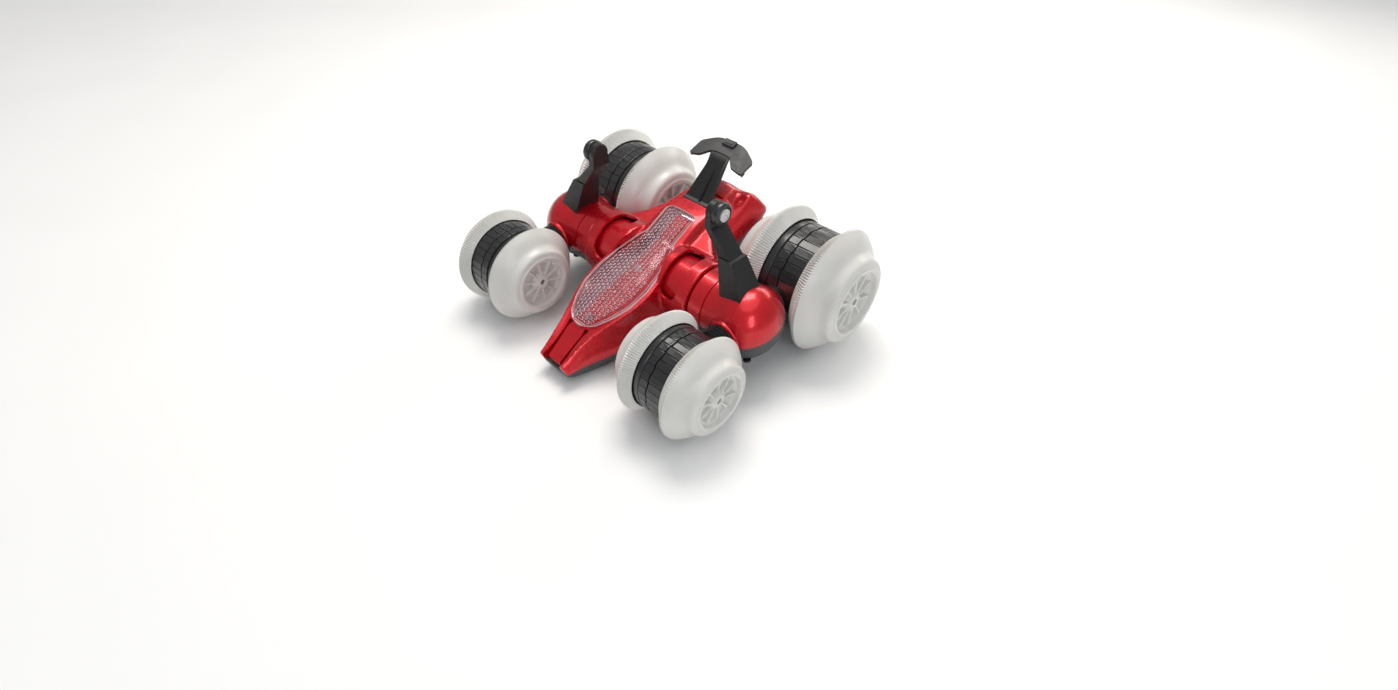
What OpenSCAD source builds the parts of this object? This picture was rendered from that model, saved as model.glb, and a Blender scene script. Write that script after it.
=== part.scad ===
// Remote controlled stunt car. Two pods on a cross tube carry four wheels, and the body turns end over
// end on that tube. Each wheel is a pair of hollow discs either side of a fixed drum with a motor in it.
// Millimetres, +Z up. The nose points along -Y and the car's left side is +X. The origin is on the
// floor under the middle of the whole car.

/* [Layout] */
// Distance between the front and rear axles
wheel_base = 108.6; // [106:0.2:112]
// Height of the cross tube's axis above the floor
tube_z = 37; // [36.6:0.1:38]
// Nose-down lean of the body at rest, in degrees
body_lean = 20; // [14:1:20]
// Distance from the centre plane to the middle of a front wheel
front_half_track = 73.1; // [72.5:0.1:74]
// Distance from the centre plane to the middle of a rear wheel
rear_half_track = 74.2; // [73.8:0.1:76]

/* [Wheels] */
// Outside radius of a front wheel
front_wheel_r = 30.5; // [30:0.1:31]
// Half of a front wheel's overall width
front_half_w = 30; // [29.5:0.1:30.4]
// Outside radius of a rear wheel
rear_wheel_r = 38.9; // [38:0.1:39.4]
// Half of a rear wheel's overall width
rear_half_w = 37.6; // [37:0.1:37.8]
// Radius of the steel wheel axles
axle_r = 1.5; // [1.4:0.05:1.6]
// Number of raised tread pads round each drum
drum_pads = 36; // [24:12:36]

/* [Cross tube and pods] */
// Outside radius of a pod where it meets the body
pod_r = 20; // [19:0.5:20.5]
// Radius of the cross tube's bearing drums, which show inside the body's windows
bearing_r = 18; // [17:0.5:18]
// Distance from the centre plane to the running gap between body and pod
gap_x = 44; // [44:0.2:44.6]
// Distance from the centre plane to the tip of a pod's dome
pod_tip_x = 94.5; // [93:0.5:95]
// Radius of a pod's dome
dome_r = 22; // [21.5:0.5:22.5]

/* [Body] */
// Wall thickness of the moulded shells
wall = 2; // [1.6:0.1:2.2]
// Thickness of the clear canopy
lens_t = 1.3; // [1:0.1:1.6]
// Rise of the canopy's crown above its rim
lens_crown = 3.4; // [2:0.2:4]

/* [Gears] */
// Teeth on the gear of each wheel axle
axle_teeth = 32; // [32]
// Teeth on each motor pinion
pinion_teeth = 12; // [12]
// Teeth on the gear fixed to the cross tube
flip_teeth = 36; // [36]

/* [Hidden] */
$fn = 64;
eps = 0.01;
slip = 0.08;              // radial running clearance of the large bearings
pin_slip = 0.05;          // radial running clearance of axles and shafts
FRONT = 0;
REAR = 1;
LEFT = 1;
RIGHT = -1;
wheel_r = [front_wheel_r, rear_wheel_r];
half_w = [front_half_w, rear_half_w];
half_track = [front_half_track, rear_half_track];
nose_reach = 85.43;       // from the tube's axis forward to the nose's tip, with the body at rest
tube_y = (nose_reach - wheel_base / 2 - rear_wheel_r) / 2;   // centres the whole car on the origin
axle_y = [tube_y - wheel_base / 2, tube_y + wheel_base / 2];
size_r = [1, rear_wheel_r / front_wheel_r];   // radial size of a wheel against a front one
size_a = [1, rear_half_w / front_half_w];     // axial size of a wheel against a front one
drum_r = [25.3, 32.2];
drum_half = [13.5, 16.5];
drum_wall = 1.8;
drive_module = 0.5;
flip_module = 0.6;
drive_centres = drive_module * (axle_teeth + pinion_teeth) / 2;
flip_centres = flip_module * (flip_teeth + pinion_teeth) / 2;
gear_w = 3.5;
gear_a = 7.4;             // axial place of the axle gear's inboard face
foot_w = 20;
flip_phase = 180 / pinion_teeth;
motor_r = 7.7;
motor_flat = 11.8;
motor_len = 18;
shaft_r = 1;
roller_y = tube_y - 1;
roller_z = 97;
post_top_x = 45.2;        // inner face of a post's eye
post_top_t = 4.2;
roller_r = 6.6;
roller_t = 4.4;
arm_x = 73.1;             // pods' fore and aft arms leave them at this distance from the centre plane
arm_r = 8.6;
arm_start = 17;           // inner end of an arm, measured from the tube's axis
lip_r = 11.2;             // raised lip round an arm's exit from its pod
lip_end = 21;
sleeve_r = 9.6;           // arm between its pod's lip and the drum
plug_r = 7;
plug_reach = 6;
spigot_r = 12;            // cross tube's end inside a pod
groove_x = 54.4;          // decorative groove round a pod
dome_x = 76;              // where a pod's dome begins
pod_seam_slope = 14;      // degrees
pod_bolt_x = [66.5, 84];
pod_bolt_y = 11;
notch_from = 46.8;        // the notch for the rear disc spans these distances from the centre plane
notch_to = 61.2;
drum_bolt_angles = [60, 300];
collar_r = 21.5;
collar_end = 43.8;
inner_face = 20.4;        // inboard end of a bearing drum

// ---- placement ----

module on_side(side) {
    if (side > 0) children();
    else mirror([1, 0, 0]) children();
}

// Wheel frame: +Z runs outboard along the axle, +Y is rearward and -X is up.
module at_wheel(side, end) {
    on_side(side)
        translate([half_track[end], axle_y[end], wheel_r[end]])
            rotate([0, 90, 0]) children();
}

// Axial frame of the cross tube: +Z runs along +X.
module at_tube() {
    translate([0, tube_y, tube_z]) rotate([0, 90, 0]) children();
}

// Body frame: level when the body is level, origin on the cross tube's axis.
module in_body() {
    translate([0, tube_y, tube_z]) rotate([body_lean, 0, 0]) children();
}

// ---- shared shapes ----

// Solid through a list of closed rings that all have the same number of points.
module loft(rings) {
    n = len(rings[0]);
    last = len(rings) - 1;
    points = [for (ring = rings) each ring];
    sides = [for (i = [0 : last - 1], j = [0 : n - 1])
        [i * n + j, (i + 1) * n + j, (i + 1) * n + (j + 1) % n, i * n + (j + 1) % n]];
    first_cap = [[for (j = [0 : n - 1]) j]];
    last_cap = [[for (j = [n - 1 : -1 : 0]) last * n + j]];
    polyhedron(points, concat(sides, first_cap, last_cap), convexity = 6);
}

// Point of a circle's involute where the roll angle is a.
function involute(base, a) = [base * (cos(a) + a * PI / 180 * sin(a)), base * (sin(a) - a * PI / 180 * cos(a))];
function turned(p, a) = [p[0] * cos(a) - p[1] * sin(a), p[0] * sin(a) + p[1] * cos(a)];

// Spur gear with stub teeth and a 25 degree pressure angle, tooth centred on the +X axis.
module spur_gear(m, teeth, width, bore) {
    pitch_r = m * teeth / 2;
    base_r = pitch_r * cos(25);
    tip_r = pitch_r + 0.8 * m;
    root_r = pitch_r - 1.15 * m;
    play = 0.05;
    roll_pitch = tan(25) * 180 / PI;
    roll_tip = sqrt(pow(tip_r / base_r, 2) - 1) * 180 / PI;
    half_tooth = 90 / teeth - play / pitch_r * 180 / PI + (roll_pitch - 25);
    steps = 4;
    flank = concat([[root_r, 0]],
        [for (i = [0 : steps]) involute(base_r, roll_tip * i / steps)]);
    outline = [for (t = [0 : teeth - 1]) each concat(
        [for (p = flank) turned(p, t * 360 / teeth - half_tooth)],
        [for (i = [len(flank) - 1 : -1 : 0]) turned([flank[i][0], -flank[i][1]], t * 360 / teeth + half_tooth)])];
    linear_extrude(width) difference() {
        polygon(outline);
        circle(r = bore);
    }
}

// Self-tapping screw standing along -Z from its head at z = 0, with a cross recess in the head.
module case_screw(length, head_r = 2.4) {
    difference() {
        union() {
            cylinder(r = head_r, h = 1.5);
            translate([0, 0, -length]) cylinder(r = 1.1, h = length + eps);
        }
        for (a = [0, 90]) rotate([0, 0, a]) translate([-1.5, -0.3, 0.7]) cube([3, 0.6, 1]);
    }
}

// Small can motor: nose at z = 0 with its shaft hole, can behind it along -Z, flats facing +-X.
module can_motor(r, flat, length) {
    difference() {
        intersection() {
            translate([0, 0, -length]) cylinder(r = r, h = length);
            translate([-flat / 2, -r, -length]) cube([flat, 2 * r, length]);
        }
        translate([0, 0, -4]) cylinder(r = shaft_r + pin_slip, h = 5, $fn = 32);
    }
}

// ---- wheels ----

// Outline of the hollow wheel disc in a half plane: radius against axial distance from the wheel's middle.
function disc_outline(end) = [for (p = [
        [25.8, 10], [29.6, 14.3], [30.5, 15.2], [30.5, 16.6], [29.3, 18.9], [27.2, 21], [24.6, 22.6],
        [22.6, 23.9], [21.6, 25.4], [21.3, 27.2], [20.2, 28.7], [18.4, 29.6], [16.6, 30], [15.6, 29.6], [15, 28.2],
        [0, 28.2], [0, 26.4], [19.3, 26.4], [19.9, 24.6], [21.2, 22.9], [23.4, 21.2], [25.8, 19.7],
        [27.6, 17.9], [28.3, 16.2], [28.1, 15], [25.8, 12.6]])
    [p[0] * size_r[end], p[1] * size_a[end]]];

module disc(end) {
    difference() {
        union() {
            rotate_extrude($fn = 96) polygon(disc_outline(end));
            translate([0, 0, 17 * size_a[end]]) cylinder(r = 4, h = 10 * size_a[end]);
        }
        translate([0, 0, 10]) cylinder(r = axle_r, h = 30, $fn = 32);
    }
}

module disc_outer(side, end) {
    color("whitesmoke") at_wheel(side, end) disc(end);
}

module disc_inner(side, end) {
    color("whitesmoke") at_wheel(side, end) mirror([0, 0, 1]) disc(end);
}

module axle(side, end) {
    reach = 27.6 * size_a[end];
    color("silver") at_wheel(side, end)
        translate([0, 0, -reach]) cylinder(r = axle_r, h = 2 * reach, $fn = 32);
}

module axle_gear(side, end) {
    color("white") at_wheel(side, end) translate([0, 0, gear_a])
        spur_gear(drive_module, axle_teeth, gear_w, axle_r);
}

module pinion(side, end) {
    color("gold") at_wheel(side, end) translate([-drive_centres, 0, gear_a]) {
        rotate([0, 0, 180 / pinion_teeth]) spur_gear(drive_module, pinion_teeth, gear_w, 0.5);
        translate([0, 0, -3.6]) cylinder(r = shaft_r, h = 3.6 + gear_w, $fn = 32);
    }
}

module drive_motor(end) {
    translate([-drive_centres, 0, gear_a - 0.6]) can_motor(motor_r, motor_flat, motor_len);
}

// One half of a drum, from the joint at z = 0 out to its end wall, with raised pads between grooves.
module drum_half_shell(end, pad_from, pad_to, pad_rise) {
    r = drum_r[end];
    h = drum_half[end];
    difference() {
        union() {
            cylinder(r = r - pad_rise, h = h);
            for (i = [0 : drum_pads - 1]) rotate([0, 0, i * 360 / drum_pads])
                translate([r - 2.4, -r * sin(128 / drum_pads), pad_from])
                    cube([2.4 - 0.06, 2 * r * sin(128 / drum_pads), pad_to - pad_from]);
        }
        translate([0, 0, -eps]) cylinder(r = r - drum_wall - pad_rise, h = h - drum_wall + eps);
        translate([0, 0, -1]) cylinder(r = axle_r + pin_slip, h = h + 2, $fn = 32);
    }
}

module drum_screw_holes(end) {
    for (a = drum_bolt_angles) rotate([0, 0, a])
        translate([drum_r[end] - 7, 0, -30]) cylinder(r = 1.1, h = 60, $fn = 24);
}

module drum_bosses(end) {
    for (a = drum_bolt_angles) rotate([0, 0, a])
        translate([drum_r[end] - 7, 0, 0]) cylinder(r = 2.6, h = drum_half[end] - drum_wall + eps, $fn = 32);
}

module drum_inner(side, end) {
    color([0.09, 0.09, 0.1]) difference() {
        at_wheel(side, end) difference() {
            union() {
                mirror([0, 0, 1]) drum_half_shell(end, 0, 6.4 * size_a[end], 0.9);
                mirror([0, 0, 1]) drum_bosses(end);
                translate([-drive_centres, 0, drum_wall - drum_half[end] - eps])
                    cylinder(r = motor_r + 1.4, h = 8);
            }
            drum_screw_holes(end);
            drive_motor(end);
        }
        on_side(side) arm_plug(end, slip);
    }
}

module drum_outer(side, end) {
    color([0.11, 0.11, 0.12]) difference() {
        at_wheel(side, end) difference() {
            union() {
                drum_half_shell(end, 0, 11 * size_a[end], 1.2);
                drum_bosses(end);
            }
            drum_screw_holes(end);
        }
        on_side(side) arm_plug(end, slip);
    }
}

// ---- arms ----

function arm_drop(end) = wheel_r[end] - tube_z;
function arm_length(end) = norm([wheel_base / 2, arm_drop(end)]) - drum_r[end];

function arm_slope(end) = atan2(arm_drop(end), wheel_base / 2);

// Arm frame: origin on the cross tube's axis, +Z runs out to the wheel's centre.
module arm_frame(end) {
    translate([arm_x, tube_y, tube_z])
        rotate([(end == FRONT ? 90 : -90) + (end == FRONT ? -1 : 1) * arm_slope(end), 0, 0]) children();
}

// Plug that carries the drum: it passes through the drum's wall at the joint of the two halves.
module arm_plug(end, extra) {
    arm_frame(end) translate([0, 0, arm_length(end) - plug_reach / 2])
        cylinder(r = plug_r + extra, h = plug_reach + extra);
}

// Ribs of the dust boot, just outside the pod's lip.
module boot_ribs() {
    for (i = [0 : 1]) translate([0, 0, lip_end + 1.2 + 2 * i]) rotate_extrude($fn = 48)
        translate([sleeve_r, 0]) circle(r = 0.8, $fn = 16);
}

module arm(side, end) {
    color([0.07, 0.07, 0.08]) on_side(side) difference() {
        union() {
            difference() {
                arm_frame(end) {
                    translate([0, 0, arm_start]) cylinder(r = arm_r, h = arm_length(end) + plug_reach - arm_start);
                    translate([0, 0, lip_end + 0.2])
                        cylinder(r = sleeve_r, h = arm_length(end) + plug_reach - lip_end);
                    boot_ribs();
                }
                at_wheel(LEFT, end) translate([0, 0, -drum_half[end] - 1])
                    cylinder(r = drum_r[end] + slip, h = 2 * drum_half[end] + 2);
            }
            arm_plug(end, 0);
        }
        arm_frame(end) translate([0, 0, arm_start - 1]) cylinder(r = 5, h = 60, $fn = 48);
    }
}

// ---- pods ----

module along_x(x) {
    translate([x, tube_y, tube_z]) rotate([0, 90, 0]) children();
}

// Outline turned about the tube's axis: a straight sleeve that swells into a rounded end.
function dome_outline(inset) = let (start = gap_x + 0.6) concat(
    [[0, inset], [pod_r - inset, inset], [pod_r - inset, 14]],
    [for (a = [0 : 10 : 90])
        [(dome_r - inset) * cos(a), dome_x - start + (pod_tip_x - dome_x - inset) * sin(a)]]);

module pod_form(inset) {
    along_x(gap_x + 0.6) rotate_extrude($fn = 64) polygon(dome_outline(inset));
}

// Everything above the sloping seam between a pod's shell and its pan.
module above_pod_seam() {
    translate([0, tube_y, tube_z + 1]) rotate([pod_seam_slope, 0, 0]) translate([0, -60, 0]) cube([120, 120, 60]);
}

pod_bolt_seat = tube_z - 16;

module pod_bolts() {
    for (x = pod_bolt_x, y = [-pod_bolt_y, pod_bolt_y]) translate([x, tube_y + y, 0]) children();
}

// Space the inner rear disc turns in, with a margin round it.
module rear_disc_space(margin) {
    translate([notch_from - margin, axle_y[REAR], rear_wheel_r]) rotate([0, 90, 0])
        cylinder(r = rear_wheel_r + 0.7 + margin, h = notch_to - notch_from + 2 * margin);
}

module pod_wall() {
    difference() {
        union() {
            pod_form(0);
            for (end = [FRONT, REAR]) arm_frame(end) translate([0, 0, 14]) cylinder(r = lip_r, h = lip_end - 14);
        }
        difference() {
            pod_form(wall);
            pod_bolts() cylinder(r = 3, h = 80, $fn = 32);
            rear_disc_space(wall);
        }
        rear_disc_space(0);
        along_x(40) cylinder(r = spigot_r, h = 20);
        for (end = [FRONT, REAR]) arm_frame(end) translate([0, 0, 10]) cylinder(r = arm_r, h = 30);
        along_x(groove_x) difference() {
            cylinder(r = pod_r + 5, h = 0.7);
            translate([0, 0, -1]) cylinder(r = pod_r - 0.6, h = 3);
        }
        pod_bolts() {
            cylinder(r = 1.1, h = tube_z + 12, $fn = 24);
            cylinder(r = 2.5, h = pod_bolt_seat, $fn = 32);
        }
    }
}

module pod_shell(side) {
    color([0.72, 0.04, 0.08]) on_side(side) intersection() {
        pod_wall();
        above_pod_seam();
    }
}

module pod_pan(side) {
    color([0.12, 0.13, 0.14]) on_side(side) difference() {
        pod_wall();
        above_pod_seam();
    }
}

// Narrow place in a post, just below its roller.
module post_neck() {
    translate([post_top_x, roller_y - 5.2, roller_z - roller_r - 1.6]) cube([post_top_t, 10, 0.8]);
}

module post(side) {
    color([0.06, 0.06, 0.07]) on_side(side) difference() {
        union() {
            hull() {
                translate([62, tube_y - 10, tube_z + 12]) cube([14.4, 15, 2]);
                translate([56.6, tube_y - 7, tube_z + 38]) cube([8.4, 9.5, 1]);
            }
            hull() {
                translate([55.4, tube_y - 7, tube_z + 38]) cube([7.6, 9.5, 1]);
                post_neck();
            }
            hull() {
                post_neck();
                translate([post_top_x, roller_y, roller_z]) rotate([0, 90, 0]) cylinder(r = 5.4, h = post_top_t, $fn = 32);
            }
        }
        pod_form(0);
        translate([post_top_x - 5, roller_y, roller_z]) rotate([0, 90, 0]) cylinder(r = 1.1, h = 30, $fn = 24);
    }
}

module at_roller(side) {
    on_side(side) translate([post_top_x + post_top_t + 0.2, roller_y, roller_z]) rotate([0, 90, 0]) children();
}

module roller(side) {
    color([0.1, 0.1, 0.11]) at_roller(side) rotate_extrude($fn = 64)
        polygon([[1.5, 0], [5.8, 0], [roller_r, 0.8], [roller_r, roller_t - 0.8], [5.8, roller_t],
            [4.2, roller_t], [4.2, roller_t - 1.2], [1.5, roller_t - 1.2]]);
}

module post_screws() {
    color("silver") for (side = [LEFT, RIGHT]) at_roller(side) {
        cylinder(r = 1.45, h = roller_t, $fn = 32);
        translate([0, 0, -4]) cylinder(r = 1.1, h = 5, $fn = 24);
        difference() {
            translate([0, 0, roller_t - 1.1]) cylinder(r = 3.7, h = 1.6, $fn = 48);
            for (a = [0, 90]) rotate([0, 0, a]) translate([-2, -0.4, roller_t - 0.3]) cube([4, 0.8, 2]);
        }
    }
}

module chassis_screws() {
    color("silver") for (side = [LEFT, RIGHT]) {
        on_side(side) pod_bolts() translate([0, 0, pod_bolt_seat]) mirror([0, 0, 1]) case_screw(16);
        for (end = [FRONT, REAR], a = drum_bolt_angles) at_wheel(side, end) rotate([0, 0, a])
            translate([drum_r[end] - 7, 0, -drum_half[end]]) mirror([0, 0, 1]) case_screw(18 * size_a[end]);
    }
}

module drive_motors() {
    color("lightsteelblue") for (side = [LEFT, RIGHT], end = [FRONT, REAR]) at_wheel(side, end) drive_motor(end);
}

module cross_tube() {
    color([0.6, 0.05, 0.08]) at_tube() difference() {
        union() {
            translate([0, 0, -60]) cylinder(r = shaft_tube_r, h = 120);
            for (m = [0, 1]) mirror([0, 0, m]) {
                translate([0, 0, inner_face]) difference() {
                    cylinder(r = bearing_r, h = gap_x + 0.4 - inner_face);
                    translate([0, 0, -1]) cylinder(r = bearing_r - wall, h = 22);
                }
                translate([0, 0, gap_x]) cylinder(r = spigot_r, h = 14);
            }
        }
        translate([0, 0, -61]) cylinder(r = 3, h = 122, $fn = 48);
    }
}

module flip_gear() {
    color("white") at_tube() translate([0, 0, flip_gear_x]) rotate([0, 0, body_lean])
        spur_gear(flip_module, flip_teeth, gear_w, shaft_tube_r);
}

// ---- body ----
// The body's form is a row of cross sections along its length. Each list pairs a station with a size:
// half widths and heights of the crest, of the valley and lobe below it, of the seam and of the floor.

stations = [-88, -83, -75, -63, -50, -38, -24, -10, 2, 12, 21, 30, 43, 57, 64, 70, 75, 78];
top_z = [[-88, 5], [-83, 6.4], [-75, 9], [-63, 13], [-50, 14.5], [-15, 15.6], [12, 18], [30, 20.5], [43, 18.6],
    [57, 15.5], [70, 12.5], [78, 5]];
crest_w = [[-88, 9.5], [-83, 10.3], [-75, 11.5], [-63, 13.5], [-50, 18.8], [-38, 22.8], [-24, 23.8], [-10, 22],
    [2, 19], [12, 15.5], [43, 15.5], [57, 12.5], [70, 8], [78, 6]];
crest_z = [[-88, 8], [-83, 9.5], [-75, 11.6], [-63, 14], [-15, 15.4], [2, 16.3], [12, 17.5], [30, 20], [43, 18],
    [57, 15], [70, 11], [78, 4]];
valley_w = [[-88, 10.5], [-60, 16.5], [-24, 25], [0, 20.5], [30, 17], [45, 17], [57, 14.5], [70, 11], [78, 8]];
valley_z = [[-88, 7], [-60, 8], [-24, 9], [10, 10], [30, 12], [45, 10], [57, 8], [70, 6], [78, -2]];
lobe_w = [[-88, 11.3], [-60, 18], [-24, 26], [0, 22.5], [30, 22], [60, 22], [70, 19.5], [78, 14]];
lobe_z = [[-88, 5.5], [-60, 1.5], [-24, 2], [30, 3], [60, 3.5], [70, 2], [78, -5]];
seam_w = [[-88, 12], [-83, 13], [-75, 14.8], [-63, 18.5], [-50, 22], [-38, 25], [-24, 26.4], [0, 24], [20, 26],
    [43, 28], [60, 28], [70, 25], [75, 20], [78, 15]];
seam_z = [[-88, 4], [-83, 3], [-75, 0.5], [-60, -5], [78, -5]];
floor_w = [[-88, 8], [-75, 10.5], [-60, 14], [-38, 18], [-10, 19], [20, 24], [28, 25.5], [64, 25.5], [70, 20], [78, 9]];
floor_z = [[-88, -2.5], [-83, -7], [-75, -11.5], [-62, -16], [-50, -18.5], [-38, -20.5], [-10, -21.5], [66, -21.5],
    [70, -19], [78, -13]];

// Closed ring at one station from its right half, listed from the top to the bottom.
function closed_ring(y, half) = concat(
    [for (p = half) [p[0], y, p[1]]],
    [for (i = [len(half) - 1 : -1 : 0]) [-half[i][0], y, half[i][1]]]);

function body_ring(y) = let (
    crest = lookup(y, crest_w),
    side = lookup(y, seam_w),
    base = lookup(y, floor_w),
    seam = lookup(y, seam_z),
    floor = lookup(y, floor_z)) closed_ring(y, [
        [crest - 3, lookup(y, top_z)],
        [crest, lookup(y, crest_z)],
        [lookup(y, valley_w), lookup(y, valley_z)],
        [lookup(y, lobe_w), lookup(y, lobe_z)],
        [side, seam],
        [base + 0.6 * (side - base), (seam + floor) / 2],
        [base, floor + 1.5],
        [base - 3, floor]]);

// Side outline of the hollow inside, as place along the body and height: roof from nose to tail, then floor.
cavity_side = [[-82, 3], [-75, 5], [-63, 7.4], [-15, 8.8], [2, 9.7], [12, 10.9], [30, 13.4], [43, 14.4], [57, 11.4],
    [70, 7.4], [74, 4], [74, -12], [70, -17], [66, -19.5], [-10, -19.5], [-38, -18.5], [-50, -16.5], [-62, -14],
    [-75, -9.5], [-82, -4.5]];
cavity_waist = -1;        // the hollow is wide below this height and narrow above it

function both_halves(half) = concat(half, [for (i = [len(half) - 1 : -1 : 0]) [-half[i][0], half[i][1]]]);
function cavity_plan(widths, margin, ys) = both_halves([for (y = ys) [lookup(y, widths) - margin, y]]);

module cavity() {
    intersection() {
        rotate([90, 0, 90]) linear_extrude(80, center = true) polygon(cavity_side);
        union() {
            translate([0, 0, cavity_waist - 40]) linear_extrude(40)
                polygon(cavity_plan(floor_w, wall, [-82, -75, -60, -38, -10, 20, 28, 64, 70, 74]));
            translate([0, 0, cavity_waist - 1]) linear_extrude(40)
                polygon(cavity_plan(crest_w, 2 * wall, [-82, -75, -63, -50, -38, -24, -10, 2, 12, 43, 57, 68, 74]));
        }
    }
}

// Half width of the canopy at each station of its rim.
lens_w = [[-63, 3], [-61.5, 7], [-58, 11], [-50, 16], [-38, 20.3], [-24, 21.2], [-10, 19.3], [2, 16], [8, 13.2],
    [10, 12], [30, 12], [32.5, 8]];

// Ring under the canopy's outline, from drop_low below the rim to drop_high below it.
function lens_cut_ring(s, margin, drop_low, drop_high) = let (
    w = s[1] + margin,
    z = lookup(s[0], crest_z)) [
        [-w, s[0], z - drop_high], [w, s[0], z - drop_high], [w, s[0], z - drop_low], [-w, s[0], z - drop_low]];

function lens_ring(s) = let (
    z = lookup(s[0], crest_z) - lens_t,
    crown = lens_crown * s[1] / 21.2,
    n = 4) concat(
        [for (i = [-n : n]) [s[1] * i / n, s[0], z + lens_t + crown * (1 - pow(i / n, 2))]],
        [for (i = [n : -1 : -n]) [s[1] * i / n, s[0], z + crown * (1 - pow(i / n, 2))]]);

body_bolts = [[0, -70], [-12, -45], [12, -45], [-13, 69], [13, 69]];
lamp_y = -33;
flip_gear_x = 10.4;
shaft_tube_r = 5;
gear_pocket_r = 11.8;
seam_drop = 0.4;          // the seam runs this far below the body's widest line
socket_at = [9, -30];
switch_at = [-8, -30];
switch_travel = 3;

module body_bolt_places() {
    for (p = body_bolts) translate([p[0], p[1], lookup(p[1], floor_z)]) children();
}

module collars() {
    for (m = [0, 1]) mirror([m, 0, 0]) translate([inner_face - 1, 0, 0]) rotate([0, 90, 0])
        cylinder(r = collar_r, h = collar_end - inner_face + 1);
}

// Shoulders that sweep in a hollow curve from the rear deck out to the collars.
shoulder_outline = [[10, 8], [collar_end, 8], [collar_end, 13], [39, 16], [33, 20], [26.5, 26.8], [22.3, 35],
    [19.6, 43.5], [15.7, 56.7], [10, 58]];

module shoulders() {
    for (m = [0, 1]) mirror([m, 0, 0]) translate([0, 0, -6]) linear_extrude(19.5) polygon(shoulder_outline);
}

// Opening in a collar that shows the bearing drum, from low on the front to high on the rear.
module collar_window() {
    reach = 30;
    for (m = [0, 1]) mirror([m, 0, 0]) translate([22.4, 0, 0]) rotate([90, 0, 90])
        linear_extrude(13) polygon([[0, 0], for (a = [50 : 21 : 155]) reach * [cos(a), sin(a)]]);
}

// Block on the pan's floor that the flip motor lies on.
module motor_cradle() {
    translate([-7, -flip_centres - 5.6, -22]) cube([14, 8, 22 - motor_flat / 2]);
}

module body_wall() {
    difference() {
        union() {
            loft([for (y = stations) body_ring(y)]);
            collars();
            shoulders();
        }
        difference() {
            cavity();
            body_bolt_places() cylinder(r = 3, h = 40, $fn = 32);
            translate([socket_at[0], socket_at[1], -22]) cylinder(r = 4, h = 11, $fn = 32);
            motor_cradle();
        }
        translate([flip_gear_x - 0.8, 0, 0]) rotate([0, 90, 0]) cylinder(r = gear_pocket_r, h = gear_w + 1.6);
        rotate([0, 90, 0]) cylinder(r = shaft_tube_r + 1, h = 2 * inner_face, center = true);
        for (m = [0, 1]) mirror([m, 0, 0]) translate([inner_face - 0.4, 0, 0]) rotate([0, 90, 0])
            cylinder(r = bearing_r + slip, h = 40);
        collar_window();
        body_bolt_places() {
            translate([0, 0, -1]) cylinder(r = 2.5, h = 5, $fn = 32);
            cylinder(r = 1.1, h = 24, $fn = 24);
        }
    }
}

// Everything above the seam between the body's shell and its pan.
module above_body_seam() {
    front = seam_z[0];
    back = seam_z[len(seam_z) - 1];
    rotate([90, 0, 90]) linear_extrude(120, center = true)
        translate([0, -seam_drop]) polygon(concat([[front[0] - 10, front[1]]], seam_z,
            [[back[0] + 10, back[1]], [back[0] + 10, 60], [front[0] - 10, 60]]));
}

module body_shell() {
    color([0.75, 0.04, 0.09]) in_body() difference() {
        intersection() {
            body_wall();
            above_body_seam();
        }
        loft([for (s = lens_w) lens_cut_ring(s, 0.15, lens_t, -12)]);
        loft([for (s = lens_w) lens_cut_ring([s[0], s[1] - 2], 0, 3.6, 0)]);
        translate([0, lamp_y, 0]) cylinder(r = 2.5, h = 20, $fn = 32);
        stem_foot();
    }
}

module body_pan() {
    color([0.13, 0.14, 0.15]) in_body() difference() {
        body_wall();
        above_body_seam();
        translate([-door_w / 2, door_y, -30]) cube([door_w, door_l, 20]);
        translate([socket_at[0], socket_at[1], -30]) cylinder(r = 1.75, h = 17, $fn = 48);
        translate([switch_at[0] - 2.1, switch_at[1] - 3.6, -30]) cube([4.2, 4.2 + switch_travel, 20]);
    }
}

door_w = 41;
door_l = 46;
door_y = 18.6;

module battery_door() {
    color([0.16, 0.17, 0.18]) in_body() difference() {
        translate([-door_w / 2 + 0.15, door_y + 0.15, -21.5]) cube([door_w - 0.3, door_l - 0.3, 1.9]);
        for (i = [0 : 4]) translate([-8, door_y + 6 + 2 * i, -22]) cube([16, 1, 0.9]);
        translate([0, door_y + door_l - 5, -22]) cylinder(r = 1.1, h = 5, $fn = 24);
    }
}

module battery_pack() {
    color("limegreen") in_body() {
        for (i = [-1.5 : 1.5]) translate([10.5 * i, door_y + 1, -14.2]) rotate([-90, 0, 0])
            cylinder(r = 5.2, h = 44.5, $fn = 48);
        translate([-16, door_y + 1, -15.6]) cube([32, 44.5, 2.8]);
    }
}

module circuit_board() {
    color("darkgreen") in_body() {
        translate([-17, 24, -9]) cube([34, 34, 1.6]);
        translate([-8, 30, -7.5]) cube([10, 7, 1.6]);
        translate([6, 42, -7.5]) cube([8, 4, 3.6]);
        translate([-10, 48, -7.5]) cylinder(r = 3, h = 6, $fn = 32);
    }
}

module lamp() {
    z = lookup(lamp_y, crest_z) - 8.5;
    color("ghostwhite") in_body() translate([0, lamp_y, z]) rotate_extrude($fn = 32)
        polygon(concat([[0, 0], [2.5, 0], [2.5, 5.6]], [for (a = [15 : 15 : 90]) [2.5 * cos(a), 5.6 + 2.5 * sin(a)]]));
}

module canopy_lens() {
    color([0.95, 0.9, 0.92, 0.5]) in_body() loft([for (s = lens_w) lens_ring(s)]);
}

module body_screws() {
    color("silver") in_body() {
        body_bolt_places() translate([0, 0, 4]) mirror([0, 0, 1]) case_screw(14);
        translate([0, door_y + door_l - 5, -19.6]) rotate([180, 0, 0]) cylinder(r = 1.1, h = 1.8, $fn = 24);
    }
}

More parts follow.
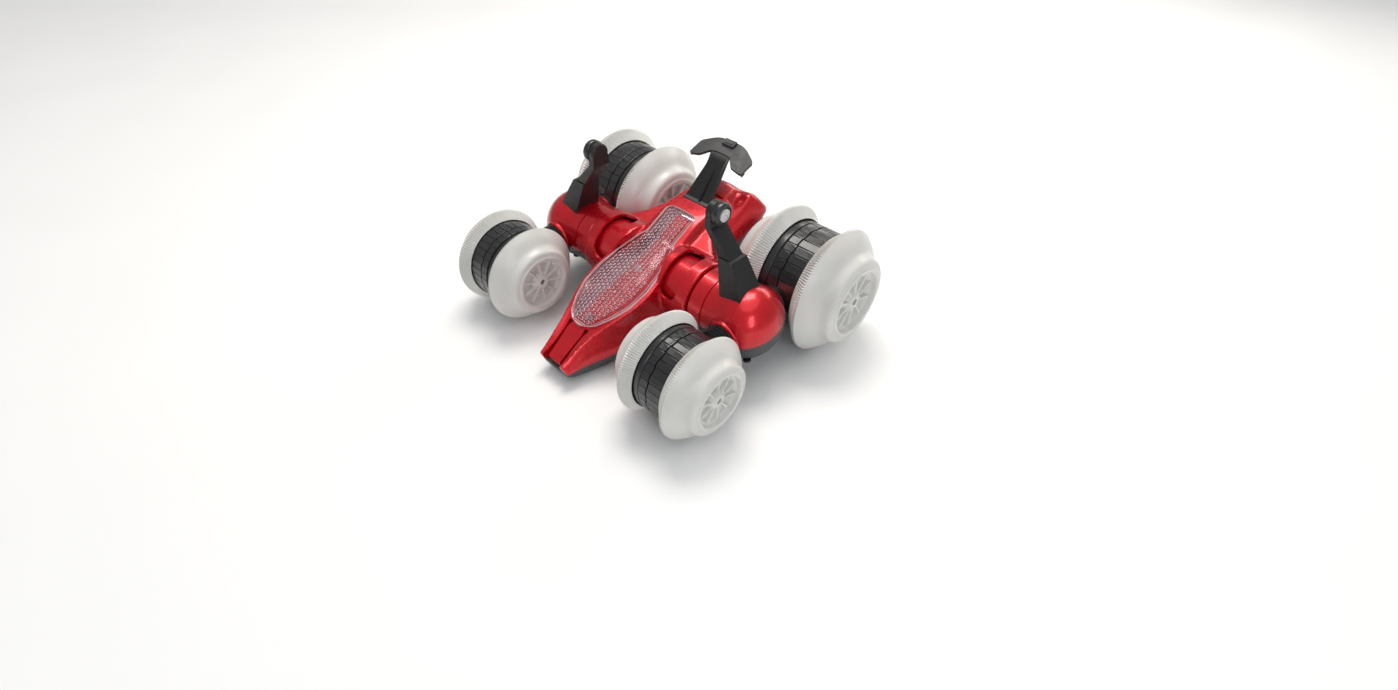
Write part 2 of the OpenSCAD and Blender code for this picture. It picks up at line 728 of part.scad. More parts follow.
module flip_motor() {
    color("lightsteelblue") in_body() translate([flip_gear_x - 0.6, -flip_centres, 0]) rotate([0, 90, 0])
        can_motor(motor_r, motor_flat, 20);
}

module flip_pinion() {
    color("gold") in_body() translate([flip_gear_x, -flip_centres, 0]) rotate([0, 90, 0]) {
        rotate([0, 0, flip_phase]) spur_gear(flip_module, pinion_teeth, gear_w, 0.5);
        translate([0, 0, -3.6]) cylinder(r = shaft_r, h = 3.6 + gear_w, $fn = 32);
    }
}

// ---- tail ----

module stem_foot() {
    translate([-foot_w / 2, 42, 15.8]) cube([foot_w, 8.6, 4]);
}

module tail_stem() {
    color([0.08, 0.08, 0.09]) in_body() {
        stem_foot();
        hull() {
            translate([-9, 43.4, 19]) cube([18, 6.2, 0.8]);
            translate([-7.6, 69, wing_z - wing_t - 0.6]) cube([15.2, 6.4, 0.6]);
        }
    }
}

wing_z = 33.8;
wing_t = 1.8;
// Stations across the wing: place, leading edge, trailing edge, drop below the middle.
wing_stations = [[-21.4, 65.4, 76, 2.2], [-20, 65, 78.4, 1.9], [-13, 66.2, 82, 0.5], [-8, 70.4, 83.6, 0],
    [0, 70.4, 84, 0], [8, 70.4, 83.6, 0], [13, 66.2, 82, 0.5], [20, 65, 78.4, 1.9], [21.4, 65.4, 76, 2.2]];

module tail_wing() {
    color([0.2, 0.2, 0.21]) in_body() {
        loft([for (s = wing_stations) [
            [s[0], s[1], wing_z - s[3] - wing_t], [s[0], s[2], wing_z - s[3] - wing_t],
            [s[0], s[2], wing_z - s[3]], [s[0], s[1], wing_z - s[3]]]]);
        translate([-3.6, 78.4, wing_z - 1]) cube([7.2, 4.6, 2.2]);
    }
}

module power_switch() {
    color("black") in_body() translate([switch_at[0], switch_at[1], 0]) {
        translate([-2, -3.4, -21.6]) cube([4, 3.8, 3.4]);
        translate([-3.4, -5, -18.6]) cube([6.8, 7, 1.8]);
    }
}

// ---- drawing ----

cross_tube();
flip_gear();
pod_shell(LEFT);  // pod_shell_left
pod_shell(RIGHT);  // pod_shell_right
pod_pan(LEFT);  // pod_pan_left
pod_pan(RIGHT);  // pod_pan_right
post(LEFT);  // post_left
post(RIGHT);  // post_right
post_screws();
chassis_screws();
arm(LEFT, FRONT);  // arm_front_left
arm(RIGHT, FRONT);  // arm_front_right
arm(LEFT, REAR);  // arm_rear_left
arm(RIGHT, REAR);  // arm_rear_right
drum_inner(LEFT, FRONT);  // drum_inner_front_left
drum_inner(RIGHT, FRONT);  // drum_inner_front_right
drum_inner(LEFT, REAR);  // drum_inner_rear_left
drum_inner(RIGHT, REAR);  // drum_inner_rear_right
drum_outer(LEFT, FRONT);  // drum_outer_front_left
drum_outer(RIGHT, FRONT);  // drum_outer_front_right
drum_outer(LEFT, REAR);  // drum_outer_rear_left
drum_outer(RIGHT, REAR);  // drum_outer_rear_right
drive_motors();
disc_inner(LEFT, FRONT);  // disc_inner_front_left
disc_inner(RIGHT, FRONT);  // disc_inner_front_right
disc_inner(LEFT, REAR);  // disc_inner_rear_left
disc_inner(RIGHT, REAR);  // disc_inner_rear_right
disc_outer(LEFT, FRONT);  // disc_outer_front_left
disc_outer(RIGHT, FRONT);  // disc_outer_front_right
disc_outer(LEFT, REAR);  // disc_outer_rear_left
disc_outer(RIGHT, REAR);  // disc_outer_rear_right
axle(LEFT, FRONT);  // axle_front_left
axle(RIGHT, FRONT);  // axle_front_right
axle(LEFT, REAR);  // axle_rear_left
axle(RIGHT, REAR);  // axle_rear_right
axle_gear(LEFT, FRONT);  // axle_gear_front_left
axle_gear(RIGHT, FRONT);  // axle_gear_front_right
axle_gear(LEFT, REAR);  // axle_gear_rear_left
axle_gear(RIGHT, REAR);  // axle_gear_rear_right
pinion(LEFT, FRONT);  // pinion_front_left
pinion(RIGHT, FRONT);  // pinion_front_right
pinion(LEFT, REAR);  // pinion_rear_left
pinion(RIGHT, REAR);  // pinion_rear_right
roller(LEFT);  // roller_left
roller(RIGHT);  // roller_right
body_shell();
body_pan();
canopy_lens();
lamp();
circuit_board();
battery_pack();
battery_door();
body_screws();
flip_motor();
flip_pinion();
tail_stem();
tail_wing();
power_switch();
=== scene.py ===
import math

import bmesh
import bpy
from mathutils import Matrix, Vector


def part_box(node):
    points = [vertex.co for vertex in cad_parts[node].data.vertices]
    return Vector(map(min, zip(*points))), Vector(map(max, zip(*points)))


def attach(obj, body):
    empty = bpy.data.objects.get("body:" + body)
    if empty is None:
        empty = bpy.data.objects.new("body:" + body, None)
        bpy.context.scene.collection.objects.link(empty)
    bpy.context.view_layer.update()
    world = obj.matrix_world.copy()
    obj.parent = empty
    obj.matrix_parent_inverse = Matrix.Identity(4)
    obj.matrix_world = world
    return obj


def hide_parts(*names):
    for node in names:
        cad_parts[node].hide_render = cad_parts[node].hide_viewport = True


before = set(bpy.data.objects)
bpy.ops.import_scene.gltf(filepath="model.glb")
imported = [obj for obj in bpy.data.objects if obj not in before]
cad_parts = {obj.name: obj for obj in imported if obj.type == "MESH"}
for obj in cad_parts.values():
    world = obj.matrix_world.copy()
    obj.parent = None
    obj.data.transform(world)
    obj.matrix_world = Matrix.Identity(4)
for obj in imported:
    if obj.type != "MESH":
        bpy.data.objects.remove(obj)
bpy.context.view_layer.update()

# Looks of the stunt car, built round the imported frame. Shapes are drawn in millimetres, each in the local
# frame of its own piece, and placed by a matrix that also brings them to metres.

MM = 0.001
scene = bpy.context.scene
SIDES = {"left": 1, "right": -1}
ENDS = ("front", "rear")


# ---- places, read from the frame ----

def middle(node):
    lo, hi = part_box(node)
    return (lo + hi) / 2 / MM


def at(origin, x_axis, y_axis, z_axis):
    """Matrix from a local frame in millimetres to the row frame in metres."""
    turn = Matrix((x_axis, y_axis, z_axis)).transposed().to_4x4()
    return Matrix.Scale(MM, 4) @ Matrix.Translation(origin) @ turn


TUBE_Y = middle("cross_tube").y
TUBE_Z = middle("cross_tube").z
BODY_LEAN = math.radians(20)
FLAT = Matrix.Scale(MM, 4)
MM_FREE = Matrix.Scale(1 / MM, 4)
BODY = FLAT @ Matrix.Translation((0, TUBE_Y, TUBE_Z)) @ Matrix.Rotation(BODY_LEAN, 4, "X")


def along_x(x, side, y=TUBE_Y, z=TUBE_Z):
    """Frame whose +Z runs outboard on one side, +X up."""
    out = Vector((side, 0, 0))
    up = Vector((0, 0, 1))
    return at((side * x, y, z), up, out.cross(up), out)


def wheel_place(end, side_name):
    centre = middle(f"axle_{end}_{side_name}")
    return along_x(abs(centre.x), SIDES[side_name], centre.y, centre.z)


def wheel_size(end):
    """Radius and half width of a wheel against the front one's drawing."""
    lo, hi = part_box(f"disc_outer_{end}_left")
    axle = middle(f"axle_{end}_left")
    return (hi.z - lo.z) / 2 / MM / DISC_R, (hi.x / MM - axle.x) / DISC_HALF_W


# ---- mesh code ----

def lookup(table, at_value):
    """Straight-line value from a table of (place, value)."""
    if at_value <= table[0][0]:
        return table[0][1]
    for (a, va), (b, vb) in zip(table, table[1:]):
        if at_value <= b:
            return va + (vb - va) * (at_value - a) / (b - a)
    return table[-1][1]


def smooth(table, at_value, reach=2.5):
    """Value from a table with its corners rounded over the reach."""
    weights = ((-1, 1), (-0.5, 2), (0, 2), (0.5, 2), (1, 1))
    return sum(w * lookup(table, at_value + k * reach) for k, w in weights) / 8


def step(a, b, value):
    t = min(1.0, max(0.0, (value - a) / (b - a)))
    return t * t * (3 - 2 * t)


def add_rings(bm, rings, close=True):
    """Skin through rings of points; a ring with one point is a tip."""
    made = [[bm.verts.new(p) for p in ring] for ring in rings]
    for a, b in zip(made, made[1:]):
        n = max(len(a), len(b))
        for i in range(n if close else n - 1):
            j = (i + 1) % n
            quad = [a[i % len(a)], a[j % len(a)], b[j % len(b)], b[i % len(b)]]
            face = list(dict.fromkeys(quad))
            if len(face) > 2:
                bm.faces.new(face)
    return made


def add_solid(bm, rings):
    made = add_rings(bm, rings)
    if len(made[0]) > 2:
        bm.faces.new(list(reversed(made[0])))
    if len(made[-1]) > 2:
        bm.faces.new(made[-1])


def add_lathe(bm, outline, steps, bend=None, closed=False):
    """Outline of (radius, place along +Z) turned about Z; bend(radius, place, angle) may change a point."""
    rings = []
    for r, z in outline + outline[:1] if closed else outline:
        if r < 1e-6:
            rings.append([(0, 0, z)])
            continue
        ring = []
        for i in range(steps):
            angle = 2 * math.pi * i / steps
            rr, zz = bend(r, z, angle) if bend else (r, z)
            ring.append((rr * math.cos(angle), rr * math.sin(angle), zz))
        rings.append(ring)
    made = add_rings(bm, rings)
    if closed:
        bmesh.ops.remove_doubles(bm, verts=made[0] + made[-1], dist=1e-5)


def add_box(bm, lo, hi, bevel=0.0):
    x0, y0, z0 = lo
    x1, y1, z1 = hi
    fresh = bmesh.ops.create_cube(bm, size=1)["verts"]
    size = Matrix.Diagonal((x1 - x0, y1 - y0, z1 - z0, 1))
    move = Matrix.Translation(((x0 + x1) / 2, (y0 + y1) / 2, (z0 + z1) / 2))
    bmesh.ops.transform(bm, matrix=move @ size, verts=fresh)
    if bevel:
        edges = list({e for v in fresh for e in v.link_edges})
        bmesh.ops.bevel(bm, geom=edges, offset=bevel, segments=3, profile=0.5, affect="EDGES")


def add_prism(bm, outline, z0, z1):
    add_solid(bm, [[(x, y, z) for x, y in outline] for z in (z0, z1)])


def bevel_sharp(bm, width, angle=40, segments=3):
    sharp = [e for e in bm.edges if len(e.link_faces) == 2 and e.calc_face_angle(0) > math.radians(angle)]
    bmesh.ops.bevel(bm, geom=sharp, offset=width, segments=segments, profile=0.5, affect="EDGES")


def split_above(bm, point, normal, keep_above):
    """Cuts a closed mesh by a plane and closes the cut."""
    geom = bm.verts[:] + bm.edges[:] + bm.faces[:]
    cut = bmesh.ops.bisect_plane(bm, geom=geom, plane_co=point, plane_no=normal,
                                 clear_inner=keep_above, clear_outer=not keep_above)
    edges = [g for g in cut["geom_cut"] if isinstance(g, bmesh.types.BMEdge)]
    bmesh.ops.edgenet_fill(bm, edges=edges)
    bmesh.ops.holes_fill(bm, edges=[e for e in bm.edges if e.is_boundary])


def shade(bm, angle=38):
    bmesh.ops.recalc_face_normals(bm, faces=bm.faces[:])
    for face in bm.faces:
        face.smooth = True
    for edge in bm.edges:
        edge.smooth = len(edge.link_faces) == 2 and edge.calc_face_angle(0) < math.radians(angle)


def absorb(bm, other):
    spare = bpy.data.meshes.new("spare")
    other.to_mesh(spare)
    other.free()
    bm.from_mesh(spare)
    bpy.data.meshes.remove(spare)


def raw_object(name, bm, place):
    bmesh.ops.transform(bm, matrix=place, verts=bm.verts[:])
    shade(bm)
    mesh = bpy.data.meshes.new(name)
    bm.to_mesh(mesh)
    bm.free()
    obj = bpy.data.objects.new(name, mesh)
    scene.collection.objects.link(obj)
    return obj


def apply_modifiers(obj):
    bpy.context.view_layer.update()
    graph = bpy.context.evaluated_depsgraph_get()
    mesh = bpy.data.meshes.new_from_object(obj.evaluated_get(graph))
    old = obj.data
    obj.modifiers.clear()
    obj.data = mesh
    bpy.data.meshes.remove(old)


def weigh_normals(obj):
    """Lets large faces keep their flat look beside narrow bevels."""
    mod = obj.modifiers.new("weigh", "WEIGHTED_NORMAL")
    mod.keep_sharp = True
    apply_modifiers(obj)
    return obj


def discard(obj):
    mesh = obj.data
    bpy.data.objects.remove(obj)
    bpy.data.meshes.remove(mesh)


def cutter(name, build, place=BODY):
    """Object for carve, filled in by build(bm)."""
    bm = bmesh.new()
    build(bm)
    return raw_object(name, bm, place)


def carve(obj, cuts):
    for cut in cuts:
        mod = obj.modifiers.new("carve", "BOOLEAN")
        mod.object = cut
        mod.operation = "DIFFERENCE"
        mod.solver = "MANIFOLD"
    apply_modifiers(obj)
    for cut in cuts:
        discard(cut)


def reshade(obj, angle=38):
    bm = bmesh.new()
    bm.from_mesh(obj.data)
    shade(bm, angle)
    bm.to_mesh(obj.data)
    bm.free()


def piece(obj, look, body, *nodes):
    obj.data.materials.clear()
    obj.data.materials.append(LOOKS[look])
    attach(obj, body)
    if nodes:
        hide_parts(*nodes)
    return obj


# ---- materials ----

def principled(name):
    mat = bpy.data.materials.new(name)
    mat.use_nodes = True
    return mat, mat.node_tree, mat.node_tree.nodes["Principled BSDF"]


def noise(tree, scale, detail=4.0):
    coords = tree.nodes.new("ShaderNodeTexCoord")
    node = tree.nodes.new("ShaderNodeTexNoise")
    node.inputs["Scale"].default_value = scale
    node.inputs["Detail"].default_value = detail
    tree.links.new(coords.outputs["Object"], node.inputs["Vector"])
    return node.outputs["Fac"]


def mapped(tree, source, low, high):
    node = tree.nodes.new("ShaderNodeMapRange")
    node.inputs["From Min"].default_value = 0.3
    node.inputs["From Max"].default_value = 0.7
    node.inputs["To Min"].default_value = low
    node.inputs["To Max"].default_value = high
    tree.links.new(source, node.inputs["Value"])
    return node.outputs["Result"]


def mixed(tree, factor, a, b):
    node = tree.nodes.new("ShaderNodeMix")
    node.data_type = "RGBA"
    node.inputs["A"].default_value = (*a, 1)
    node.inputs["B"].default_value = (*b, 1)
    tree.links.new(factor, node.inputs["Factor"])
    return node.outputs["Result"]


def plastic(name, light, dark, rough, grain, bump, patch=60.0, metallic=0.0, **extra):
    """Moulded surface: slow colour variation, uneven gloss and a fine grain in the normal."""
    mat, tree, bsdf = principled(name)
    colour = mixed(tree, mapped(tree, noise(tree, patch), 0, 1), dark, light)
    tree.links.new(colour, bsdf.inputs["Base Color"])
    gloss = mapped(tree, noise(tree, patch * 5), rough * 0.85, rough * 1.15)
    tree.links.new(gloss, bsdf.inputs["Roughness"])
    node = tree.nodes.new("ShaderNodeBump")
    node.inputs["Strength"].default_value = bump
    node.inputs["Distance"].default_value = 0.0001
    tree.links.new(noise(tree, grain, 2), node.inputs["Height"])
    tree.links.new(node.outputs["Normal"], bsdf.inputs["Normal"])
    bsdf.inputs["Metallic"].default_value = metallic
    for key, value in extra.items():
        bsdf.inputs[key.replace("_", " ")].default_value = value
    return mat


DEEP_RED = (0.26, 0.0, 0.012, 1)
ROSE = (0.98, 0.86, 0.9, 1)


def candy(name):
    """Clear-coated metallic red that deepens where it turns away, with a soft orange peel."""
    mat = plastic(name, (0.74, 0.006, 0.016), (0.62, 0.003, 0.01), 0.28, 900, 0.003,
                  metallic=0.45, Coat_Weight=0.6, Coat_Roughness=0.04, Coat_IOR=1.4)
    tree = mat.node_tree
    bsdf = tree.nodes["Principled BSDF"]
    old = bsdf.inputs["Base Color"].links[0].from_socket
    weight = tree.nodes.new("ShaderNodeLayerWeight")
    weight.inputs["Blend"].default_value = 0.38
    node = tree.nodes.new("ShaderNodeMix")
    node.data_type = "RGBA"
    node.inputs["B"].default_value = DEEP_RED
    tree.links.new(weight.outputs["Facing"], node.inputs["Factor"])
    tree.links.new(old, node.inputs["A"])
    tree.links.new(node.outputs["Result"], bsdf.inputs["Base Color"])
    return mat


def milky(name):
    """Translucent moulded plastic: light goes into it, and thin places look warmer."""
    mat = plastic(name, (0.69, 0.68, 0.655), (0.63, 0.62, 0.595), 0.36, 2500, 0.12, patch=45,
                  Subsurface_Weight=0.35, Subsurface_Scale=0.0018, IOR=1.45, Coat_Weight=0.2)
    mat.node_tree.nodes["Principled BSDF"].inputs["Subsurface Radius"].default_value = (1.0, 0.88, 0.72)
    return mat


def clear(name):
    """Clear plastic: see-through with a rose tint, mirror-like where the surface turns away."""
    mat = plastic(name, (0.8, 0.66, 0.69), (0.7, 0.56, 0.6), 0.05, 3000, 0.02,
                  patch=90, metallic=1.0)
    tree = mat.node_tree
    bsdf = tree.nodes["Principled BSDF"]
    through = tree.nodes.new("ShaderNodeBsdfTransparent")
    through.inputs["Color"].default_value = ROSE
    fresnel = tree.nodes.new("ShaderNodeFresnel")
    fresnel.inputs["IOR"].default_value = 1.45
    mix = tree.nodes.new("ShaderNodeMixShader")
    tree.links.new(fresnel.outputs["Fac"], mix.inputs["Fac"])
    tree.links.new(through.outputs["BSDF"], mix.inputs[1])
    tree.links.new(bsdf.outputs["BSDF"], mix.inputs[2])
    tree.links.new(mix.outputs["Shader"], tree.nodes["Material Output"].inputs["Surface"])
    return mat


LOOKS = {
    "red_shell": candy("red_shell_look"),
    "dark_pan": plastic("dark_pan_look", (0.062, 0.064, 0.068), (0.05, 0.052, 0.056), 0.48, 2600, 0.15),
    "black_plastic": plastic("black_plastic_look", (0.012, 0.012, 0.013), (0.007, 0.007, 0.008),
                             0.4, 2200, 0.08),
    "wing_black": plastic("wing_black_look", (0.052, 0.051, 0.053), (0.04, 0.039, 0.041), 0.55, 2200, 0.08),
    "black_gloss": plastic("black_gloss_look", (0.02, 0.02, 0.022), (0.012, 0.012, 0.014), 0.3, 1500, 0.06,
                           Coat_Weight=0.25),
    "milky_disc": milky("milky_disc_look"),
    # Whitish pink and half see-through: a painted highlight for the canopy's stud flanks and raised lines.
    "lens_painted_highlight": plastic("lens_painted_highlight_look", (0.98, 0.74, 0.78), (0.9, 0.64, 0.69), 0.2, 3000, 0.05,
                           patch=90, Coat_Weight=0.5, Alpha=0.55),
    "clear_lens": clear("clear_lens_look"),
    "led": plastic("led_look", (0.8, 0.78, 1.0), (0.7, 0.66, 0.95), 0.12, 1200, 0.1, Emission_Strength=0.35,
                   Subsurface_Weight=0.3, Subsurface_Scale=0.002, Coat_Weight=0.6),
    "chrome_screw": plastic("chrome_screw_look", (0.97, 0.97, 0.98), (0.9, 0.9, 0.92), 0.22, 4000, 0.15,
                            metallic=0.6),
    "black_screw": plastic("black_screw_look", (0.05, 0.05, 0.055), (0.03, 0.03, 0.034), 0.35, 4000, 0.1,
                           metallic=0.8),
    "steel_rod": plastic("steel_rod_look", (0.6, 0.61, 0.62), (0.5, 0.5, 0.52), 0.25, 4000, 0.2,
                         metallic=1.0),
    "motor_can": plastic("motor_can_look", (0.62, 0.63, 0.64), (0.5, 0.51, 0.53), 0.3, 3000, 0.2,
                         metallic=1.0),
    "white_gear": plastic("white_gear_look", (0.8, 0.8, 0.77), (0.72, 0.72, 0.69), 0.4, 2500, 0.2,
                          Subsurface_Weight=0.2, Subsurface_Scale=0.002),
    "brass_gear": plastic("brass_gear_look", (0.72, 0.5, 0.2), (0.6, 0.4, 0.15), 0.28, 3000, 0.2,
                          metallic=1.0),
    "board_green": plastic("board_green_look", (0.02, 0.16, 0.06), (0.012, 0.11, 0.04), 0.35, 1500, 0.2,
                           patch=150),
    "cell_green": plastic("cell_green_look", (0.1, 0.42, 0.12), (0.07, 0.33, 0.09), 0.3, 1200, 0.15),
    "silver_print": plastic("silver_print_look", (0.5, 0.46, 0.46), (0.38, 0.33, 0.34), 0.35, 2000, 0.3,
                            metallic=0.6),
}


# ---- wheels ----
# Outlines are (radius, place along the axle), in the front wheel's size.

DISC_R = 30.5
DISC_HALF_W = 30.0
DISC_OUTLINE = [(25.8, 10), (29.6, 14.3), (30.5, 14.9), (30.5, 15.6), (30.4, 16.4), (29.7, 17.1),
                (28.8, 18.4), (27.0, 20.4), (24.9, 22.0), (23.1, 23.2), (22.3, 24.2), (21.7, 25.4),
                (21.3, 27.0), (20.9, 28.2), (20.1, 28.9), (18.8, 29.2), (17.6, 29.4), (17.1, 29.9),
                (16.2, 30), (15.5, 29.7), (15.1, 28.8), (14.6, 27.6)]
HUB_FACE = [(13.6, 27.2), (12.4, 27.2), (11, 27.2), (9.6, 27.2), (8.2, 27.2), (6.8, 27.2), (5.4, 27.3),
            (4.6, 27.6), (3.8, 28.3), (3.0, 28.5), (2.0, 28.5), (1.7, 28.2), (1.6, 26.4)]
DISC_INSIDE = [(13, 25.4), (18.8, 25.8), (19.9, 24.0), (21.8, 22.4), (24.0, 20.9), (26.0, 19.2),
               (27.6, 17.5), (28.2, 16), (28.1, 15), (25.8, 12.6)]
TEETH = {"front": 132, "rear": 150}
TOOTH_DEPTH = 0.9
BRIM_R, BRIM_Z = 29.5, 17.05
HUB_PETALS = 10
HUB_FROM, HUB_TO = 4.8, 14.0
PETAL_DEPTH = 1.9
PETAL_RING_R = 9.6


def disc_bend(teeth):
    """Teeth on the brim's edge and petals pressed into the hub's face."""
    def bend(r, z, angle):
        if r > BRIM_R and z < BRIM_Z:
            wave = 0.5 + 0.5 * math.cos(teeth * angle)
            return r - TOOTH_DEPTH * step(16.9, 15.1, z) * (1 - step(0.25, 0.75, wave)), z
        if HUB_FROM < r < HUB_TO and z > 27:
            spoke = abs(math.sin(HUB_PETALS * angle / 2))
            petal = step(0.22, 0.5, spoke) * step(HUB_FROM, 6.5, r) * step(HUB_TO, 12.6, r)
            ring = 0.5 * step(0.6, 0.0, abs(r - PETAL_RING_R))
            return r, z + 0.5 - PETAL_DEPTH * petal * (1 - 0.35 * ring)
        return r, z
    return bend


def disc(end, side_name, facing):
    size_r, size_a = wheel_size(end)
    teeth = TEETH[end]
    bm = bmesh.new()
    outline = DISC_OUTLINE + HUB_FACE + DISC_INSIDE
    add_lathe(bm, outline, teeth * 4, disc_bend(teeth), closed=True)
    flip = 1 if facing == "outer" else -1
    size = Matrix.Diagonal((size_r, size_r, size_a * flip, 1))
    bmesh.ops.transform(bm, matrix=size, verts=bm.verts[:])
    name = f"disc_{facing}_{end}_{side_name}"
    obj = raw_object("wheel_" + name, bm, wheel_place(end, side_name))
    piece(obj, "milky_disc", f"{end}_{side_name}_wheel", name)


PAD_COUNT = 36
PAD_END = {"outer": 11, "inner": 5.6}
PAD_RISE = {"outer": 1.5, "inner": 1.1}
PAD_FILL = 0.97           # share of the way round that pads cover
ZIGZAG = 0.45


def add_pad(bm, angle, half_angle, r0, r1, z0, z1):
    """Raised tread pad: its foot on the drum, its top set in all round."""
    rings = []
    for r, inset in ((r0, 0.0), (r1 - 0.3, 0.0), (r1 - 0.08, 0.1), (r1, 0.3), (r1 - 0.05, 0.7)):
        span = half_angle - inset / r1
        around = [-span, -span / 3, span / 3, span]
        low, high = z0 + inset, z1 - inset
        edge = [(a, low) for a in around] + [(span, (low + high) / 2)]
        edge += [(a, high) for a in reversed(around)] + [(-span, (low + high) / 2)]
        rings.append([(r * math.cos(angle + a), r * math.sin(angle + a), z) for a, z in edge])
    add_solid(bm, rings)


def drum(end, side_name, facing):
    name = f"drum_{facing}_{end}_{side_name}"
    lo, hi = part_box(name)
    radius = (hi.z - lo.z) / 2 / MM
    size_a = wheel_size(end)[1]
    reach = (hi.x - lo.x) / MM
    flip = 1 if facing == "outer" else -1
    pad_end = PAD_END[facing] * size_a
    core = radius - PAD_RISE[facing]
    bm = bmesh.new()
    outline = [(0, 0.05), (core, 0.05), (core, pad_end + 0.4), (core + 0.6, pad_end + 0.9)]
    if facing == "outer":
        outline += [(core + 0.6, reach - 1.4), (core - 0.2, reach - 0.5), (core - 2, reach), (2, reach),
                    (0, reach)]
    else:
        outline += [(core + 0.9, pad_end + 1.2), (core + 0.9, reach - 1.2), (core + 0.4, reach - 0.3),
                    (core - 1, reach), (2, reach), (0, reach)]
    add_lathe(bm, outline, 144)
    half_angle = math.radians(180 / PAD_COUNT * PAD_FILL)
    for i in range(PAD_COUNT):
        jog = ZIGZAG if i % 2 else 0.0
        foot = 0.1 + (jog if facing == "outer" else ZIGZAG - jog)
        add_pad(bm, 2 * math.pi * i / PAD_COUNT, half_angle, core - 0.3, radius, foot, pad_end)
    bmesh.ops.transform(bm, matrix=Matrix.Diagonal((1, 1, flip, 1)), verts=bm.verts[:])
    piece(raw_object("tread_" + name, bm, wheel_place(end, side_name)), "black_gloss", "chassis", name)


# ---- arms ----

def arm_place(end, side_name):
    wheel = middle(f"axle_{end}_{side_name}")
    arm_x = abs(middle(f"arm_{end}_{side_name}").x)
    start = Vector((SIDES[side_name] * arm_x, TUBE_Y, TUBE_Z))
    run = Vector((0, wheel.y - TUBE_Y, wheel.z - TUBE_Z))
    out = run.normalized()
    across = Vector((1, 0, 0))
    length = run.length
    return at(start, across, out.cross(across), out), length


ARM_R = 8.4
BOOT_FROM = 20.8
RIB_PITCH = 2.2


def arm(end, side_name):
    """Round arm with a ribbed boot between pod and drum, and a flat cheek on either side."""
    place, length = arm_place(end, side_name)
    drum_lo, drum_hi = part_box(f"drum_outer_{end}_{side_name}")
    reach = length - (drum_hi.z - drum_lo.z) / 2 / MM
    outline = [(0, 16), (ARM_R, 16), (ARM_R, 20.4)]
    z = BOOT_FROM
    while z < reach + 2.5:
        outline += [(ARM_R + 0.5, z), (ARM_R + 1.5, z + 0.35), (ARM_R + 1.8, z + 0.8),
                    (ARM_R + 1.5, z + 1.25), (ARM_R + 0.5, z + 1.6), (ARM_R + 0.2, z + 1.9)]
        z += RIB_PITCH
    outline += [(ARM_R + 0.2, reach + 4.5), (0, reach + 4.5)]
    bm = bmesh.new()
    add_lathe(bm, outline, 72)
    for m in (-1, 1):
        cheek = m * (ARM_R - 0.2)
        add_box(bm, (cheek - 1.4, -3.2, BOOT_FROM), (cheek + 1.4, 3.2, reach + 2.5), 0.5)
    name = f"arm_{end}_{side_name}"
    piece(raw_object("boot_" + name, bm, place), "black_gloss", "chassis", name)


# ---- pods ----

GAP_X = 44.6
POD_R = 20.0
DOME_R = 22.0
DOME_X = 76.0
TIP_X = 94.5
SEAM_SLOPE = math.radians(14)
NOTCH_FROM, NOTCH_TO, NOTCH_GAP = 46.8, 61.2, 0.7
GROOVE_X = 54.4
FLARE_X = 58              # where a pod starts to widen towards its dome
LIP_R = 11.2


def pod_outline(inset):
    r = POD_R - inset
    rows = [(0, GAP_X), (r - 0.5, GAP_X), (r, GAP_X + 0.5), (r, GROOVE_X - 0.1), (r - 0.75, GROOVE_X + 0.1),
            (r - 0.75, GROOVE_X + 0.6), (r, GROOVE_X + 0.8), (r, FLARE_X)]
    for i in range(1, 7):
        t = i / 7
        rows.append((r + (DOME_R - POD_R) * step(0, 1, t), FLARE_X + (DOME_X - FLARE_X) * t))
    for i in range(19):
        a = math.radians(5 * i)
        rows.append(((DOME_R - inset) * math.cos(a), DOME_X + (TIP_X - inset - DOME_X) * math.sin(a)))
    rows[-1] = (0, TIP_X - inset)
    return rows


def lip_outline(outer):
    """Collar round an arm's root, from inside the pod to just above its skin."""
    return [(8.7, 12), (8.7, 20.4), (9.2, 21), (outer - 0.9, 21), (outer - 0.3, 20.7), (outer, 20.1),
            (outer, 12)]


def rear_disc_space(side_name):
    """Room for the inner rear disc, cut out of the back of its pod."""
    wheel = middle(f"axle_rear_{side_name}")
    radius = wheel_size("rear")[0] * DISC_R + NOTCH_GAP

    def build(bm):
        outline = [(0, NOTCH_FROM), (radius - 4, NOTCH_FROM), (radius, NOTCH_FROM + 4),
                   (radius, NOTCH_TO - 4), (radius - 4, NOTCH_TO), (0, NOTCH_TO)]
        add_lathe(bm, outline, 160)
    return cutter("disc_space", build, along_x(0, SIDES[side_name], wheel.y, wheel.z))


def pod(side_name):
    normal = Vector((0, -math.sin(SEAM_SLOPE), math.cos(SEAM_SLOPE)))
    for part, look, inset, above in (("shell", "red_shell", 0.0, True), ("pan", "dark_pan", 0.3, False)):
        seam = Vector((0, TUBE_Y, TUBE_Z + (1.0 if above else 0.75)))
        bm = bmesh.new()
        add_lathe(bm, pod_outline(inset), 128)
        bmesh.ops.transform(bm, matrix=MM_FREE @ along_x(0, SIDES[side_name]), verts=bm.verts[:])
        split_above(bm, seam, normal, above)
        obj = raw_object(f"form_pod_{part}_{side_name}", bm, FLAT)
        carve(obj, [rear_disc_space(side_name)])
        reshade(obj)
        piece(obj, look, "chassis", f"pod_{part}_{side_name}")
        for end in ENDS:
            lip = bmesh.new()
            add_lathe(lip, lip_outline(LIP_R - inset), 96, closed=True)
            bmesh.ops.transform(lip, matrix=MM_FREE @ arm_place(end, side_name)[0], verts=lip.verts[:])
            split_above(lip, seam, normal, above)
            piece(raw_object(f"lip_{part}_{end}_{side_name}", lip, FLAT), look, "chassis")


# ---- posts and rollers ----

